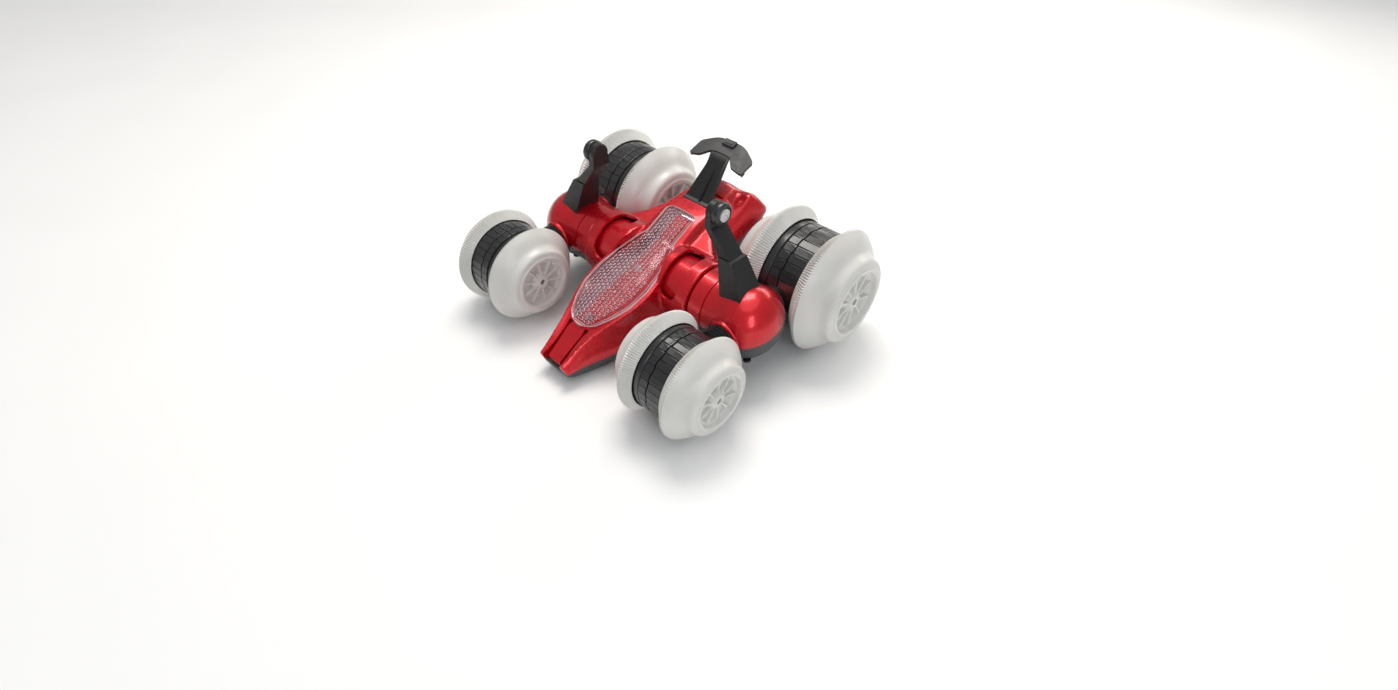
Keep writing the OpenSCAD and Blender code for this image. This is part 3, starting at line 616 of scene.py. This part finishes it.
POST_FOOT_Z = TUBE_Z + 12
POST_STEP_Z = TUBE_Z + 38
EYE = middle("roller_left")
EYE_R = 6.1
EYE_X = 45.0


def level_ring(x0, x1, y0, y1, z):
    return [(x0, TUBE_Y + y0, z), (x1, TUBE_Y + y0, z), (x1, TUBE_Y + y1, z), (x0, TUBE_Y + y1, z)]


def post(side_name):
    side = SIDES[side_name]
    bm = bmesh.new()
    add_solid(bm, [level_ring(63, 80, -12.4, 8, POST_FOOT_Z), level_ring(56, 66, -7.6, 5, POST_STEP_Z)])
    add_solid(bm, [level_ring(56.4, 64.4, -7, 4.2, POST_STEP_Z - 0.6), level_ring(45.3, 50.2, -7, 5.4, 89.2),
                   level_ring(45.3, 49.3, -7, 5.4, 90.4), level_ring(45.3, 49.3, -6.6, 4.6, EYE.z)])
    bevel_sharp(bm, 0.6, 30, 2)
    eye = bmesh.new()
    outline = [(0, 0), (EYE_R - 0.6, 0), (EYE_R, 0.6), (EYE_R, 3.9), (EYE_R - 0.4, 4.4), (0, 4.4)]
    add_lathe(eye, outline, 48)
    bmesh.ops.transform(eye, matrix=MM_FREE @ along_x(EYE_X, 1, EYE.y, EYE.z), verts=eye.verts[:])
    absorb(bm, eye)
    bmesh.ops.transform(bm, matrix=Matrix.Diagonal((side, 1, 1, 1)), verts=bm.verts[:])
    name = f"post_{side_name}"
    obj = weigh_normals(raw_object("lever_" + name, bm, FLAT))
    piece(obj, "black_plastic", "chassis", name)


def roller(side_name):
    lo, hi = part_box(f"roller_{side_name}")
    width = (hi.x - lo.x) / MM
    radius = (hi.z - lo.z) / 2 / MM
    inner = min(abs(lo.x), abs(hi.x)) / MM
    outline = [(1.55, 0), (radius - 1.1, 0), (radius - 0.4, 0.3), (radius, 0.9), (radius, width - 0.9),
               (radius - 0.35, width - 0.3), (radius - 1.0, width), (4.6, width), (4.3, width - 0.3),
               (4.2, width - 1.2), (1.55, width - 1.2)]
    bm = bmesh.new()
    add_lathe(bm, outline, 72, closed=True)
    obj = raw_object(f"wheel_roller_{side_name}", bm, along_x(inner, SIDES[side_name], EYE.y, EYE.z))
    piece(obj, "black_gloss", f"{side_name}_roller", f"roller_{side_name}")


# ---- body ----
# The body's frame is level, with its origin on the flip axis, -Y to the nose and +Y to the tail.
# STATIONS are the places of its sections; the tables hold half widths (_W) and heights (_Z) as
# (place, value), from the middle line at the top, over crest, valley and lobe, to seam and floor.

STATIONS = [-88.7, -88.2, -86.5, -83, -75, -63, -50, -38, -24, -10, 2, 12, 21, 30, 43, 57, 66, 71, 75,
            78, 78.8]
TOP_Z = [(-89, 6.2), (-83, 7.6), (-75, 9.8), (-63, 13), (-50, 14.5), (-15, 15.6), (12, 18), (30, 20.5),
         (43, 18.6), (57, 15.8), (66, 13.8), (70.5, 12.6), (73, 9), (76, 3), (79, -2)]
CREST_W = [(-89, 9), (-83, 9.6), (-75, 10.8), (-63, 13), (-50, 18.8), (-38, 22.8), (-24, 23.8), (-10, 22),
           (2, 19), (12, 15.5), (43, 15.5), (57, 12), (66, 8.5), (71, 7), (79, 6)]
CREST_Z = [(-89, 9.6), (-83, 10.4), (-75, 12.4), (-63, 14.4), (-15, 15.4), (2, 16.3), (12, 17.5),
           (30, 20), (43, 18), (57, 15.3), (66, 13), (70.5, 11.6), (73, 8), (76, 2), (79, -3)]
VALLEY_W = [(-89, 10.8), (-60, 16.5), (-24, 25), (0, 20.5), (30, 17), (45, 17), (57, 14.5), (66, 12.5),
            (71, 11.5), (79, 10)]
VALLEY_Z = [(-89, 7.4), (-60, 8), (-24, 9), (10, 10), (30, 12), (45, 10), (57, 9), (70, 9), (74, 7), (79, -4)]
LOBE_W = [(-89, 12), (-60, 18), (-24, 26), (0, 22.5), (30, 22), (60, 22), (71, 20), (76, 19), (79, 16)]
LOBE_Z = [(-89, 5.3), (-60, 1.5), (-24, 2), (30, 3), (50, 5), (60, 8), (71, 10.8), (74, 9.5), (79, -4)]
SEAM_W = [(-89, 12.6), (-83, 13.6), (-75, 15), (-63, 18.5), (-50, 22), (-38, 25), (-24, 26.4), (0, 24),
          (20, 26), (43, 28), (60, 28), (70, 28), (75, 27.6), (78, 25), (79, 21)]
SEAM_Z = [(-89, 3.2), (-83, 2), (-75, -0.6), (-60, -6), (-30, -5.4), (0, -5), (79, -5)]
FLOOR_W = [(-89, 10.5), (-75, 13.2), (-60, 16.8), (-38, 19.5), (-10, 19), (20, 24), (28, 25.5),
           (66, 25.5), (72, 22), (79, 12)]
FLOOR_Z = [(-89, -3.5), (-83, -8), (-75, -11.6), (-62, -16), (-50, -18.5), (-38, -20.5), (-10, -21.5),
           (66, -21.5), (72, -19), (79, -13)]
LENS_W = [(-63.2, 0.6), (-62.6, 4), (-61, 7.6), (-58, 11.2), (-50, 16), (-38, 20.3), (-24, 21.2), (-10, 19.3),
          (2, 16), (7.4, 13.9), (9.8, 12.1), (13, 11.9), (29.5, 11.9), (31.6, 10.4), (32.8, 8)]
COLLAR_R = 21.5
COLLAR_END = 43.8
SHOULDER = [(8, 8), (COLLAR_END, 8), (COLLAR_END, 13), (39, 16), (33, 20), (26.5, 26.8), (22.3, 35),
            (19.6, 43.5), (15.7, 56.7), (8, 58)]
SHOULDER_LOW, SHOULDER_HIGH = -6, 13.5
BEARING_R = 18.1
BEARING_ROOM = 1.7        # extra radius of the bore behind the window
BEARING_LENGTH = 1.6
INNER_FACE = 19.2
FINE = 0.0007             # voxel size of the body's blended form, in metres
CREASES = {2: 0.7, 4: 0.35, 6: 0.9, 8: 0.5}    # by place in half_ring: crest, lobe, seam, floor's edge


def half_ring(y):
    """One side of a section as (half width, height), from the top's middle round to the floor's."""
    crest, side, base = lookup(CREST_W, y), lookup(SEAM_W, y), lookup(FLOOR_W, y)
    seam, floor = lookup(SEAM_Z, y), lookup(FLOOR_Z, y)
    lobe, lobe_z = lookup(LOBE_W, y), lookup(LOBE_Z, y)
    return [(0, lookup(TOP_Z, y) + 0.4), (crest - 3, lookup(TOP_Z, y)), (crest, lookup(CREST_Z, y)),
            (lookup(VALLEY_W, y), lookup(VALLEY_Z, y)), (lobe, lobe_z),
            ((lobe + 3 * side) / 4, 0.55 * lobe_z + 0.45 * seam), (side, seam),
            (base + 0.6 * (side - base), (seam + floor) / 2), (base, floor + 1.5), (base - 3, floor),
            (0, floor)]


def body_core(name):
    """Rounded form from nose to tail, creased along its crest, lobe and seam lines."""
    bm = bmesh.new()
    rings = []
    for y in STATIONS:
        half = half_ring(y)
        rings.append([(x, y, z) for x, z in half] + [(-x, y, z) for x, z in reversed(half[1:-1])])
    add_solid(bm, rings)
    crease = bm.edges.layers.float.new("crease_edge")
    points = len(rings[0])
    bm.verts.ensure_lookup_table()
    for index, amount in CREASES.items():
        for column in (index, points - index):
            for k in range(len(STATIONS) - 1):
                edge = bm.edges.get((bm.verts[k * points + column], bm.verts[(k + 1) * points + column]))
                edge[crease] = amount
    obj = raw_object(name, bm, BODY)
    mod = obj.modifiers.new("round", "SUBSURF")
    mod.levels = 2
    apply_modifiers(obj)
    return obj


def collars_and_shoulders():
    extra = bmesh.new()
    for side in (1, -1):
        collar = bmesh.new()
        add_lathe(collar, [(0, INNER_FACE - 3), (COLLAR_R, INNER_FACE - 3), (COLLAR_R, COLLAR_END - 0.5),
                           (COLLAR_R - 0.5, COLLAR_END), (0, COLLAR_END)], 128)
        bmesh.ops.transform(collar, matrix=MM_FREE @ along_x(0, side, 0, 0), verts=collar.verts[:])
        shoulder = [(side * x, y) for x, y in SHOULDER]
        add_prism(extra, shoulder[::side], SHOULDER_LOW, SHOULDER_HIGH)
        absorb(extra, collar)
    return raw_object("extra", extra, BODY)


def body_form(name):
    """The core, its collars and shoulders, blended into one smooth skin."""
    obj = body_core(name)
    more = collars_and_shoulders()
    join = obj.modifiers.new("join", "BOOLEAN")
    join.object = more
    join.operation = "UNION"
    join.solver = "EXACT"
    join.use_self = True
    apply_modifiers(obj)
    discard(more)
    mod = obj.modifiers.new("blend", "REMESH")
    mod.mode = "VOXEL"
    mod.voxel_size = FINE
    mod = obj.modifiers.new("soften", "SMOOTH")
    mod.factor = 0.5
    mod.iterations = 5
    apply_modifiers(obj)
    return obj


def bearing_cut(side):
    """Bore of a collar: roomy behind the window, close on the tube at its outer end."""
    roomy = BEARING_R + BEARING_ROOM
    start, shelf = INNER_FACE - 0.4, COLLAR_END - BEARING_LENGTH
    outline = [(0, start), (roomy, start), (roomy, shelf), (BEARING_R, shelf), (BEARING_R, 60), (0, 60)]
    place = BODY @ MM_FREE @ along_x(0, side, 0, 0)
    return cutter("bearing_cut", lambda bm: add_lathe(bm, outline, 128), place)


WINDOW_FROM, WINDOW_TO = 45, 154     # degrees round the tube: 0 at the tail, 90 straight up
WINDOW_ROUND = 16
WINDOW_INNER = 22.3
WINDOW_OUTER = 34.6


def window_cut(side):
    """Curved opening with round ends in a collar, from low on the front to high on the rear."""
    def build(bm):
        close = [WINDOW_ROUND * (1 - math.cos(math.radians(15 * k))) for k in range(7)]
        angles = [WINDOW_FROM + a for a in close]
        far = [WINDOW_TO - (a - WINDOW_FROM) for a in angles]
        angles += list(range(WINDOW_FROM + WINDOW_ROUND + 3, WINDOW_TO - WINDOW_ROUND, 3)) + far[::-1]
        outer = []
        inner = []
        for a in angles:
            rim = WINDOW_OUTER + 1.4 * math.cos(math.radians(a - 110))
            ends = min(1.0, (a - WINDOW_FROM) / WINDOW_ROUND, (WINDOW_TO - a) / WINDOW_ROUND)
            reach = (rim - WINDOW_INNER) / 2 * math.sqrt(max(0.0, 1 - (1 - ends) ** 2))
            outer.append((a, (rim + WINDOW_INNER) / 2 + reach))
            inner.append((a, (rim + WINDOW_INNER) / 2 - reach))
        outline = outer[::-1] + inner[1:-1]
        rings = []
        for r in (12, 20, 34):
            ring = []
            for a, x in outline:
                angle = math.radians(a)
                ring.append((side * x, r * math.cos(angle), r * math.sin(angle)))
            rings.append(ring if side > 0 else ring[::-1])
        add_solid(bm, rings)
    return cutter("window_cut", build)


def seam_side(above, drop):
    """Block that holds everything on one side of the body's seam."""
    far = 130
    end = far if above else -far
    outline = [(-far, SEAM_Z[0][1] - drop)] + [(y, z - drop) for y, z in SEAM_Z]
    outline += [(far, SEAM_Z[-1][1] - drop), (far, end), (-far, end)]
    place = Matrix((Vector((0, 0, 1)), Vector((1, 0, 0)), Vector((0, 1, 0)))).to_4x4()

    def build(bm):
        add_prism(bm, outline, -far, far)
        bmesh.ops.transform(bm, matrix=place, verts=bm.verts[:])
    return cutter("seam_side", build)


def lens_cut(margin, depth):
    """Opening under the canopy, wider than it by the margin and sunk to the depth."""
    def build(bm):
        rings = []
        for y, half in LENS_W:
            rim = smooth(CREST_Z, y)
            w = half + margin
            rings.append([(-w, y, rim - depth), (w, y, rim - depth), (w, y, rim + 14), (-w, y, rim + 14)])
        add_solid(bm, rings)
    return cutter("lens_cut", build)


def nose_gap(side):
    """Gap between the hood and a prong, wide at the front and with a small hollow at the canopy's end."""
    def build(bm):
        inner = [(5.2, -62.4), (6.2, -67), (5.7, -73), (5.0, -83), (4.7, -92)]
        outer = [(7.8, -92), (7.4, -83), (7.1, -73), (7.5, -67), (8.6, -62.4)]
        outline = [(side * x, y) for x, y in inner + outer]
        rings = []
        for drop in (-3.4, 20):
            rings.append([(x, y, smooth(TOP_Z, y) + drop - 2.0 * step(-70, -86, y)) for x, y in outline])
        add_solid(bm, rings if side < 0 else [r[::-1] for r in rings])
    return cutter("nose_gap", build)


HOOD_END = -86.9
PRONG_GAP = 7.7           # half width between the prongs


def hood_end():
    """Space in front of the hood, between the two prongs."""
    def build(bm):
        edge = [(x, HOOD_END + 0.05 * x * x / 2) for x in (-PRONG_GAP, -4, 0, 4, PRONG_GAP)]
        outline = edge + [(PRONG_GAP, -96), (-PRONG_GAP, -96)]
        add_prism(bm, outline, 1.6, 30)
    return cutter("hood_end", build)


def foot_slot():
    """Narrow slot across the spine behind the stem's foot."""
    return cutter("foot_slot", lambda bm: add_box(bm, (-11.6, 54.4, 13.2), (11.6, 55.9, 24)))


def body_shell():
    obj = body_form("body_shell_form")
    cuts = [seam_side(False, 0.4), lens_cut(0.1, 3.4), hood_end(), foot_slot()]
    for side in (1, -1):
        cuts += [bearing_cut(side), window_cut(side), nose_gap(side)]
    carve(obj, cuts)
    reshade(obj, 32)
    piece(obj, "red_shell", "car_body", "body_shell")


DOOR_LO, DOOR_HI = (-20.65, 18.5, -30), (20.65, 64.7, -19.5)
SWITCH_LO, SWITCH_HI = (-10.1, -33.6, -30), (-5.9, -26.4, -16)
SOCKET_X, SOCKET_Y = 9, -30
SOCKET_R = 1.75
BOLTS = ((0, -70), (-12, -45), (12, -45), (-13, 69), (13, 69))
BOLT_R = 2.6
PAN_INSET = -0.00035      # metres; the pan stands back a little from the shell's skin


def round_hole(name, x, y, radius, low, high):
    outline = [(0, low), (radius, low), (radius, high), (0, high)]
    place = BODY @ Matrix.Translation((x, y, 0))
    return cutter(name, lambda bm: add_lathe(bm, outline, 40), place)


def body_pan():
    obj = body_form("body_pan_form")
    mod = obj.modifiers.new("inset", "DISPLACE")
    mod.strength = PAN_INSET
    mod.mid_level = 0
    apply_modifiers(obj)
    cuts = [seam_side(True, 0.62), cutter("door_cut", lambda bm: add_box(bm, DOOR_LO, DOOR_HI)),
            cutter("switch_cut", lambda bm: add_box(bm, SWITCH_LO, SWITCH_HI)),
            round_hole("socket_cut", SOCKET_X, SOCKET_Y, SOCKET_R, -30, -13)]
    for x, y in BOLTS:
        floor = lookup(FLOOR_Z, y)
        cuts.append(round_hole("bolt_cut", x, y, BOLT_R, floor - 4, floor + 3.9))
    for side in (1, -1):
        cuts.append(bearing_cut(side))
    carve(obj, cuts)
    reshade(obj, 32)
    piece(obj, "dark_pan", "car_body", "body_pan")


# ---- canopy ----

STUD_PITCH = 2.95
ROW_PITCH = 0.87          # of the stud pitch
STUD_R = 1.15
STUD_H = 0.65
CROWN = 3.2
WIDEST = 21.2
BORDER, EXTRA_BORDER = 2.8, 1.7
OUTER_LINE, INNER_LINE = 0.6, 1.9    # raised lines, in from the canopy's outline
LENS_RISE, LENS_THICK = 0.25, 1.0


def stud_distance(x, y):
    """Distance to the nearest stud's middle; the studs stand in rows, each shifted by half a pitch."""
    row = round(x / (STUD_PITCH * ROW_PITCH))
    best = 9.0
    for near in (row - 1, row, row + 1):
        shift = 0.5 * STUD_PITCH * (near % 2)
        cx = near * STUD_PITCH * ROW_PITCH
        cy = round((y - shift) / STUD_PITCH) * STUD_PITCH + shift
        best = min(best, math.hypot(x - cx, y - cy))
    return best


def lens_edge(x, y, half):
    """Distance in from the canopy's outline, near enough."""
    return min(half - abs(x), (y - LENS_W[0][0]) * 0.9, LENS_W[-1][0] - y)


def lens_crown(y, half):
    """Rise of the canopy's middle, fading towards its two ends."""
    fade = step(0, 10, y - LENS_W[0][0]) * step(0, 8, LENS_W[-1][0] - y + 4)
    return CROWN * half / WIDEST * fade


def in_stud_field(x, y, half):
    """Studs fill the canopy's top and leave a plain border, wider along its broad part."""
    border = BORDER + EXTRA_BORDER * step(10, 0, y) * step(-60, -50, y)
    return half - abs(x) > border and lens_edge(x, y, half) > BORDER


def lens_height(x, y, half):
    edge = lens_edge(x, y, half)
    crown = lens_crown(y, half) * (1 - (x / half) ** 2)
    lip = 0.42 * step(0.55, 0.0, abs(edge - OUTER_LINE)) + 0.3 * step(0.4, 0.0, abs(edge - INNER_LINE))
    bump = 0.0
    if in_stud_field(x, y, half):
        bump = STUD_H * math.sqrt(max(0.0, 1 - (stud_distance(x, y) / STUD_R) ** 2))
    return smooth(CREST_Z, y) + LENS_RISE + crown + lip + bump


def in_painted_highlight(x, y, half):
    """True on the flanks of the studs and on the two raised lines round the canopy: the faces that get the
    painted highlight.
    """
    edge = lens_edge(x, y, half)
    if in_stud_field(x, y, half):
        return 0.6 * STUD_R < stud_distance(x, y) < 0.98 * STUD_R
    return abs(edge - OUTER_LINE) < 0.5 or abs(edge - INNER_LINE) < 0.24


def canopy():
    """Crowned plate on a fine grid, so that studs and raised lines are real relief; their flanks and the
    lines get a whitish painted highlight.
    """
    bm = bmesh.new()
    along, across = 380, 170
    y0, y1 = LENS_W[0][0], LENS_W[-1][0]
    rings = []
    painted_highlight_faces = []
    for i in range(along + 1):
        y = y0 + (y1 - y0) * i / along
        half = smooth(LENS_W, y, 0.6) + 0.15
        top = []
        under = []
        for j in range(across + 1):
            x = half * (2 * j / across - 1)
            top.append((x, y, lens_height(x, y, half)))
            painted_highlight_faces.append(j < across and in_painted_highlight(x + half / across, y + (y1 - y0) / along / 2, half))
            if j % 10 == 0:
                rise = lens_crown(y, half) * (1 - (x / half) ** 2)
                under.append((x, y, smooth(CREST_Z, y) - LENS_THICK + rise))
        rings.append(top + under[::-1])
    add_solid(bm, rings)
    side = len(rings[0])
    obj = raw_object("canopy_form", bm, BODY)
    piece(obj, "clear_lens", "car_body", "canopy_lens")
    # The stud flanks and raised lines take the second look, a whitish painted highlight.
    obj.data.materials.append(LOOKS["lens_painted_highlight"])
    for i in range(along):
        for j in range(across):
            if painted_highlight_faces[i * (across + 1) + j]:
                obj.data.polygons[i * side + j].material_index = 1


def lamp():
    """Round-nosed lamp that shows through the canopy."""
    radius = 2.5
    outline = [(0, 4.6), (2.9, 4.6), (2.9, 5.6), (radius, 5.8), (radius, 9.2)]
    for a in range(15, 90, 15):
        outline.append((radius * math.cos(math.radians(a)), 9.2 + radius * math.sin(math.radians(a))))
    outline += [(0, 11.7)]
    bm = bmesh.new()
    add_lathe(bm, outline, 48)
    place = BODY @ Matrix.Translation((0, -33, 0))
    piece(raw_object("lamp_form", bm, place), "led", "car_body", "lamp")


def chip():
    bm = bmesh.new()
    add_box(bm, (-2.2, -15, 11.0), (2.2, -10.6, 13.2), 0.3)
    piece(raw_object("chip", bm, BODY), "silver_print", "car_body")


def star_boss():
    star = []
    for i in range(16):
        r = 2.9 if i % 2 == 0 else 1.3
        star.append((r * math.cos(math.pi * i / 8), r * math.sin(math.pi * i / 8)))
    bm = bmesh.new()
    add_prism(bm, star, 9.5, 13.4)
    piece(raw_object("star_boss", bm, BODY @ Matrix.Translation((0, -55, 0))), "silver_print", "car_body")


# ---- tail ----

WING_Z = 33.8
WING_THICK = 1.8
# Half of the wing from its tip inwards: (x, front edge, back edge, droop).
WING_STATIONS = [(-21.2, 66, 76, 2.0), (-20, 65.2, 78.0, 1.8), (-17, 65.4, 79.8, 1.2), (-13, 66, 82, 0.5),
                 (-10.4, 68.6, 83.0, 0.15), (-8, 71.6, 83.6, 0), (-4, 72.6, 83.9, 0)]
FIN_X = 20.6
STEM_FOOT_Z = 18.4
STEM_FOOT = [(-9.2, 43.2), (9.2, 43.2), (9.2, 49.8), (-9.2, 49.8)]
STEM_HEAD = [(-5.2, 71.0), (5.2, 71.0), (5.2, 77.8), (-5.2, 77.8)]
RIDGES = ((2.2, 1.2), (3.0, 1.9))    # x at the foot and at the head of the stem


def tail_wing():
    bm = bmesh.new()
    mirrored = [(-x, front, back, drop) for x, front, back, drop in reversed(WING_STATIONS)]
    rings = []
    for x, front, back, drop in WING_STATIONS + [(0, 72.6, 84, 0)] + mirrored:
        low, high = WING_Z - drop - WING_THICK, WING_Z - drop
        rings.append([(x, front, low), (x, back, low), (x, back, high), (x, front, high)])
    add_solid(bm, rings)
    bevel_sharp(bm, 0.35, 35, 3)
    add_box(bm, (-4.6, 78.6, WING_Z - 0.6), (4.6, 83.6, WING_Z + 1.7), 0.45)
    add_box(bm, (-3.4, 79.6, WING_Z + 1.2), (3.4, 82.6, WING_Z + 2.2), 0.3)
    for m in (-1, 1):
        fin = m * FIN_X
        add_box(bm, (fin - 0.6, 66, WING_Z - 5.2), (fin + 0.6, 69, WING_Z - 3), 0.3)
    piece(weigh_normals(raw_object("wing_form", bm, BODY)), "wing_black", "car_body", "tail_wing")


def tail_stem():
    """Stem leaning back from the spine to the wing, wider just under it, with two fine ridges."""
    bm = bmesh.new()
    rings = []
    for i in range(9):
        t = i / 8
        swell = 1.0 + 0.35 * step(0.8, 1.0, t)
        z = STEM_FOOT_Z + (WING_Z - 0.6 - STEM_FOOT_Z) * t
        ring = []
        for (fx, fy), (hx, hy) in zip(STEM_FOOT, STEM_HEAD):
            ring.append(((fx + (hx - fx) * t) * swell, fy + (hy - fy) * t - 0.8 * step(0.8, 1.0, t), z))
        rings.append(ring)
    add_solid(bm, rings)
    bevel_sharp(bm, 0.6, 40, 3)
    for foot_x, head_x in RIDGES:
        ridge = []
        for x, y, z in ((foot_x, 43.1, 19.0), (head_x, 69.6, 32.2)):
            ridge.append([(x, y - 0.25, z + 0.1), (x + 0.35, y - 0.25, z + 0.1), (x + 0.35, y + 1, z),
                          (x, y + 1, z)])
        add_solid(bm, ridge)
    add_box(bm, (-10, 42, 15.8), (10, 50.6, 19.2), 0.6)
    piece(weigh_normals(raw_object("stem_form", bm, BODY)), "black_plastic", "car_body", "tail_stem")


# ---- CAD nodes that stay ----

def keep(look, *nodes):
    for name in nodes:
        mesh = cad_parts[name].data
        mesh.materials.clear()
        mesh.materials.append(LOOKS[look])


def kept_nodes():
    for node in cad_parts:
        if node.startswith("axle_gear") or node == "flip_gear":
            keep("white_gear", node)
        elif node.startswith("axle_"):
            keep("steel_rod", node)
        elif "pinion" in node:
            keep("brass_gear", node)
        elif "motor" in node:
            keep("motor_can", node)
        elif node == "post_screws":
            keep("chrome_screw", node)
        elif "screws" in node:
            keep("black_screw", node)
    keep("red_shell", "cross_tube")
    keep("board_green", "circuit_board")
    keep("cell_green", "battery_pack")
    keep("dark_pan", "battery_door")
    keep("black_plastic", "power_switch")


# ---- studio ----

CAMERA_AIM = Vector((47.4, TUBE_Y - 11.5, 8.7))
CAMERA_AZIMUTH = math.radians(42.307)
CAMERA_ELEVATION = math.radians(41.438)
CAMERA_ROLL = math.radians(1.306)
CAMERA_DISTANCE = 428.9
LENS_MM = 18.243
FLOOR_HALF = 4000
FLOOR_DROP = 0.05         # keeps the floor just under the wheels
SKY_DIM = 0.38            # the white world's light on the car; the camera sees it full white


def camera():
    az, el, roll = CAMERA_AZIMUTH, CAMERA_ELEVATION, CAMERA_ROLL
    back = Vector((math.sin(az) * math.cos(el), -math.cos(az) * math.cos(el), math.sin(el)))
    right = Vector((math.cos(az), math.sin(az), 0))
    up = back.cross(right)
    rolled_right = math.cos(roll) * right + math.sin(roll) * up
    rolled_up = -math.sin(roll) * right + math.cos(roll) * up
    data = bpy.data.cameras.new("camera")
    data.lens = LENS_MM
    data.sensor_width = 36
    data.sensor_fit = "HORIZONTAL"
    data.clip_start = 0.01
    obj = bpy.data.objects.new("camera", data)
    turn = Matrix((rolled_right, rolled_up, back)).transposed().to_4x4()
    obj.matrix_world = Matrix.Translation((CAMERA_AIM + back * CAMERA_DISTANCE) * MM) @ turn
    scene.collection.objects.link(obj)
    scene.camera = obj


def soft_light(name, place, aim, size, power, tone):
    data = bpy.data.lights.new(name, "AREA")
    data.color = tone
    data.shape = "RECTANGLE"
    data.size, data.size_y = size
    data.energy = power
    obj = bpy.data.objects.new(name, data)
    obj.location = place
    obj.rotation_euler = (Vector(aim) - Vector(place)).to_track_quat("-Z", "Y").to_euler()
    scene.collection.objects.link(obj)


def studio():
    bm = bmesh.new()
    bmesh.ops.create_grid(bm, x_segments=8, y_segments=8, size=FLOOR_HALF)
    bmesh.ops.translate(bm, vec=(0, 0, -FLOOR_DROP), verts=bm.verts[:])
    floor = raw_object("floor", bm, FLAT)
    white = plastic("floor_look", (0.93, 0.93, 0.93), (0.915, 0.915, 0.915), 0.7, 300, 0.05, patch=3)
    floor.data.materials.append(white)
    soft_light("key", (-0.25, 0.25, 0.95), (0, 0, 0.03), (0.55, 0.4), 5.6, (1.0, 0.97, 0.91))
    soft_light("front", (0.9, -0.5, 0.55), (0, 0, 0.03), (0.3, 0.6), 2.2, (0.88, 0.95, 1.0))
    soft_light("rim", (-0.1, 1.0, 0.5), (0, 0, 0.05), (0.9, 0.3), 2.5, (1.0, 0.95, 0.87))
    sky = bpy.data.lights.new("sky", "SUN")
    sky.energy = 0.7
    sky.angle = math.radians(60)
    scene.collection.objects.link(bpy.data.objects.new("sky", sky))
    world = bpy.data.worlds.new("studio")
    world.use_nodes = True
    tree = world.node_tree
    path = tree.nodes.new("ShaderNodeLightPath")
    strength = tree.nodes.new("ShaderNodeMapRange")
    strength.inputs["To Min"].default_value = SKY_DIM
    strength.inputs["To Max"].default_value = 1.0
    tree.links.new(path.outputs["Is Camera Ray"], strength.inputs["Value"])
    background = tree.nodes["Background"]
    background.inputs["Color"].default_value = (1, 1, 1, 1)
    tree.links.new(strength.outputs["Result"], background.inputs["Strength"])
    scene.world = world
    scene.view_settings.view_transform = "Standard"


for end in ENDS:
    for side_name in SIDES:
        for facing in ("inner", "outer"):
            disc(end, side_name, facing)
            drum(end, side_name, facing)
        arm(end, side_name)
for side_name in SIDES:
    pod(side_name)
    post(side_name)
    roller(side_name)
body_shell()
body_pan()
canopy()
lamp()
chip()
star_boss()
tail_wing()
tail_stem()
kept_nodes()
studio()
camera()
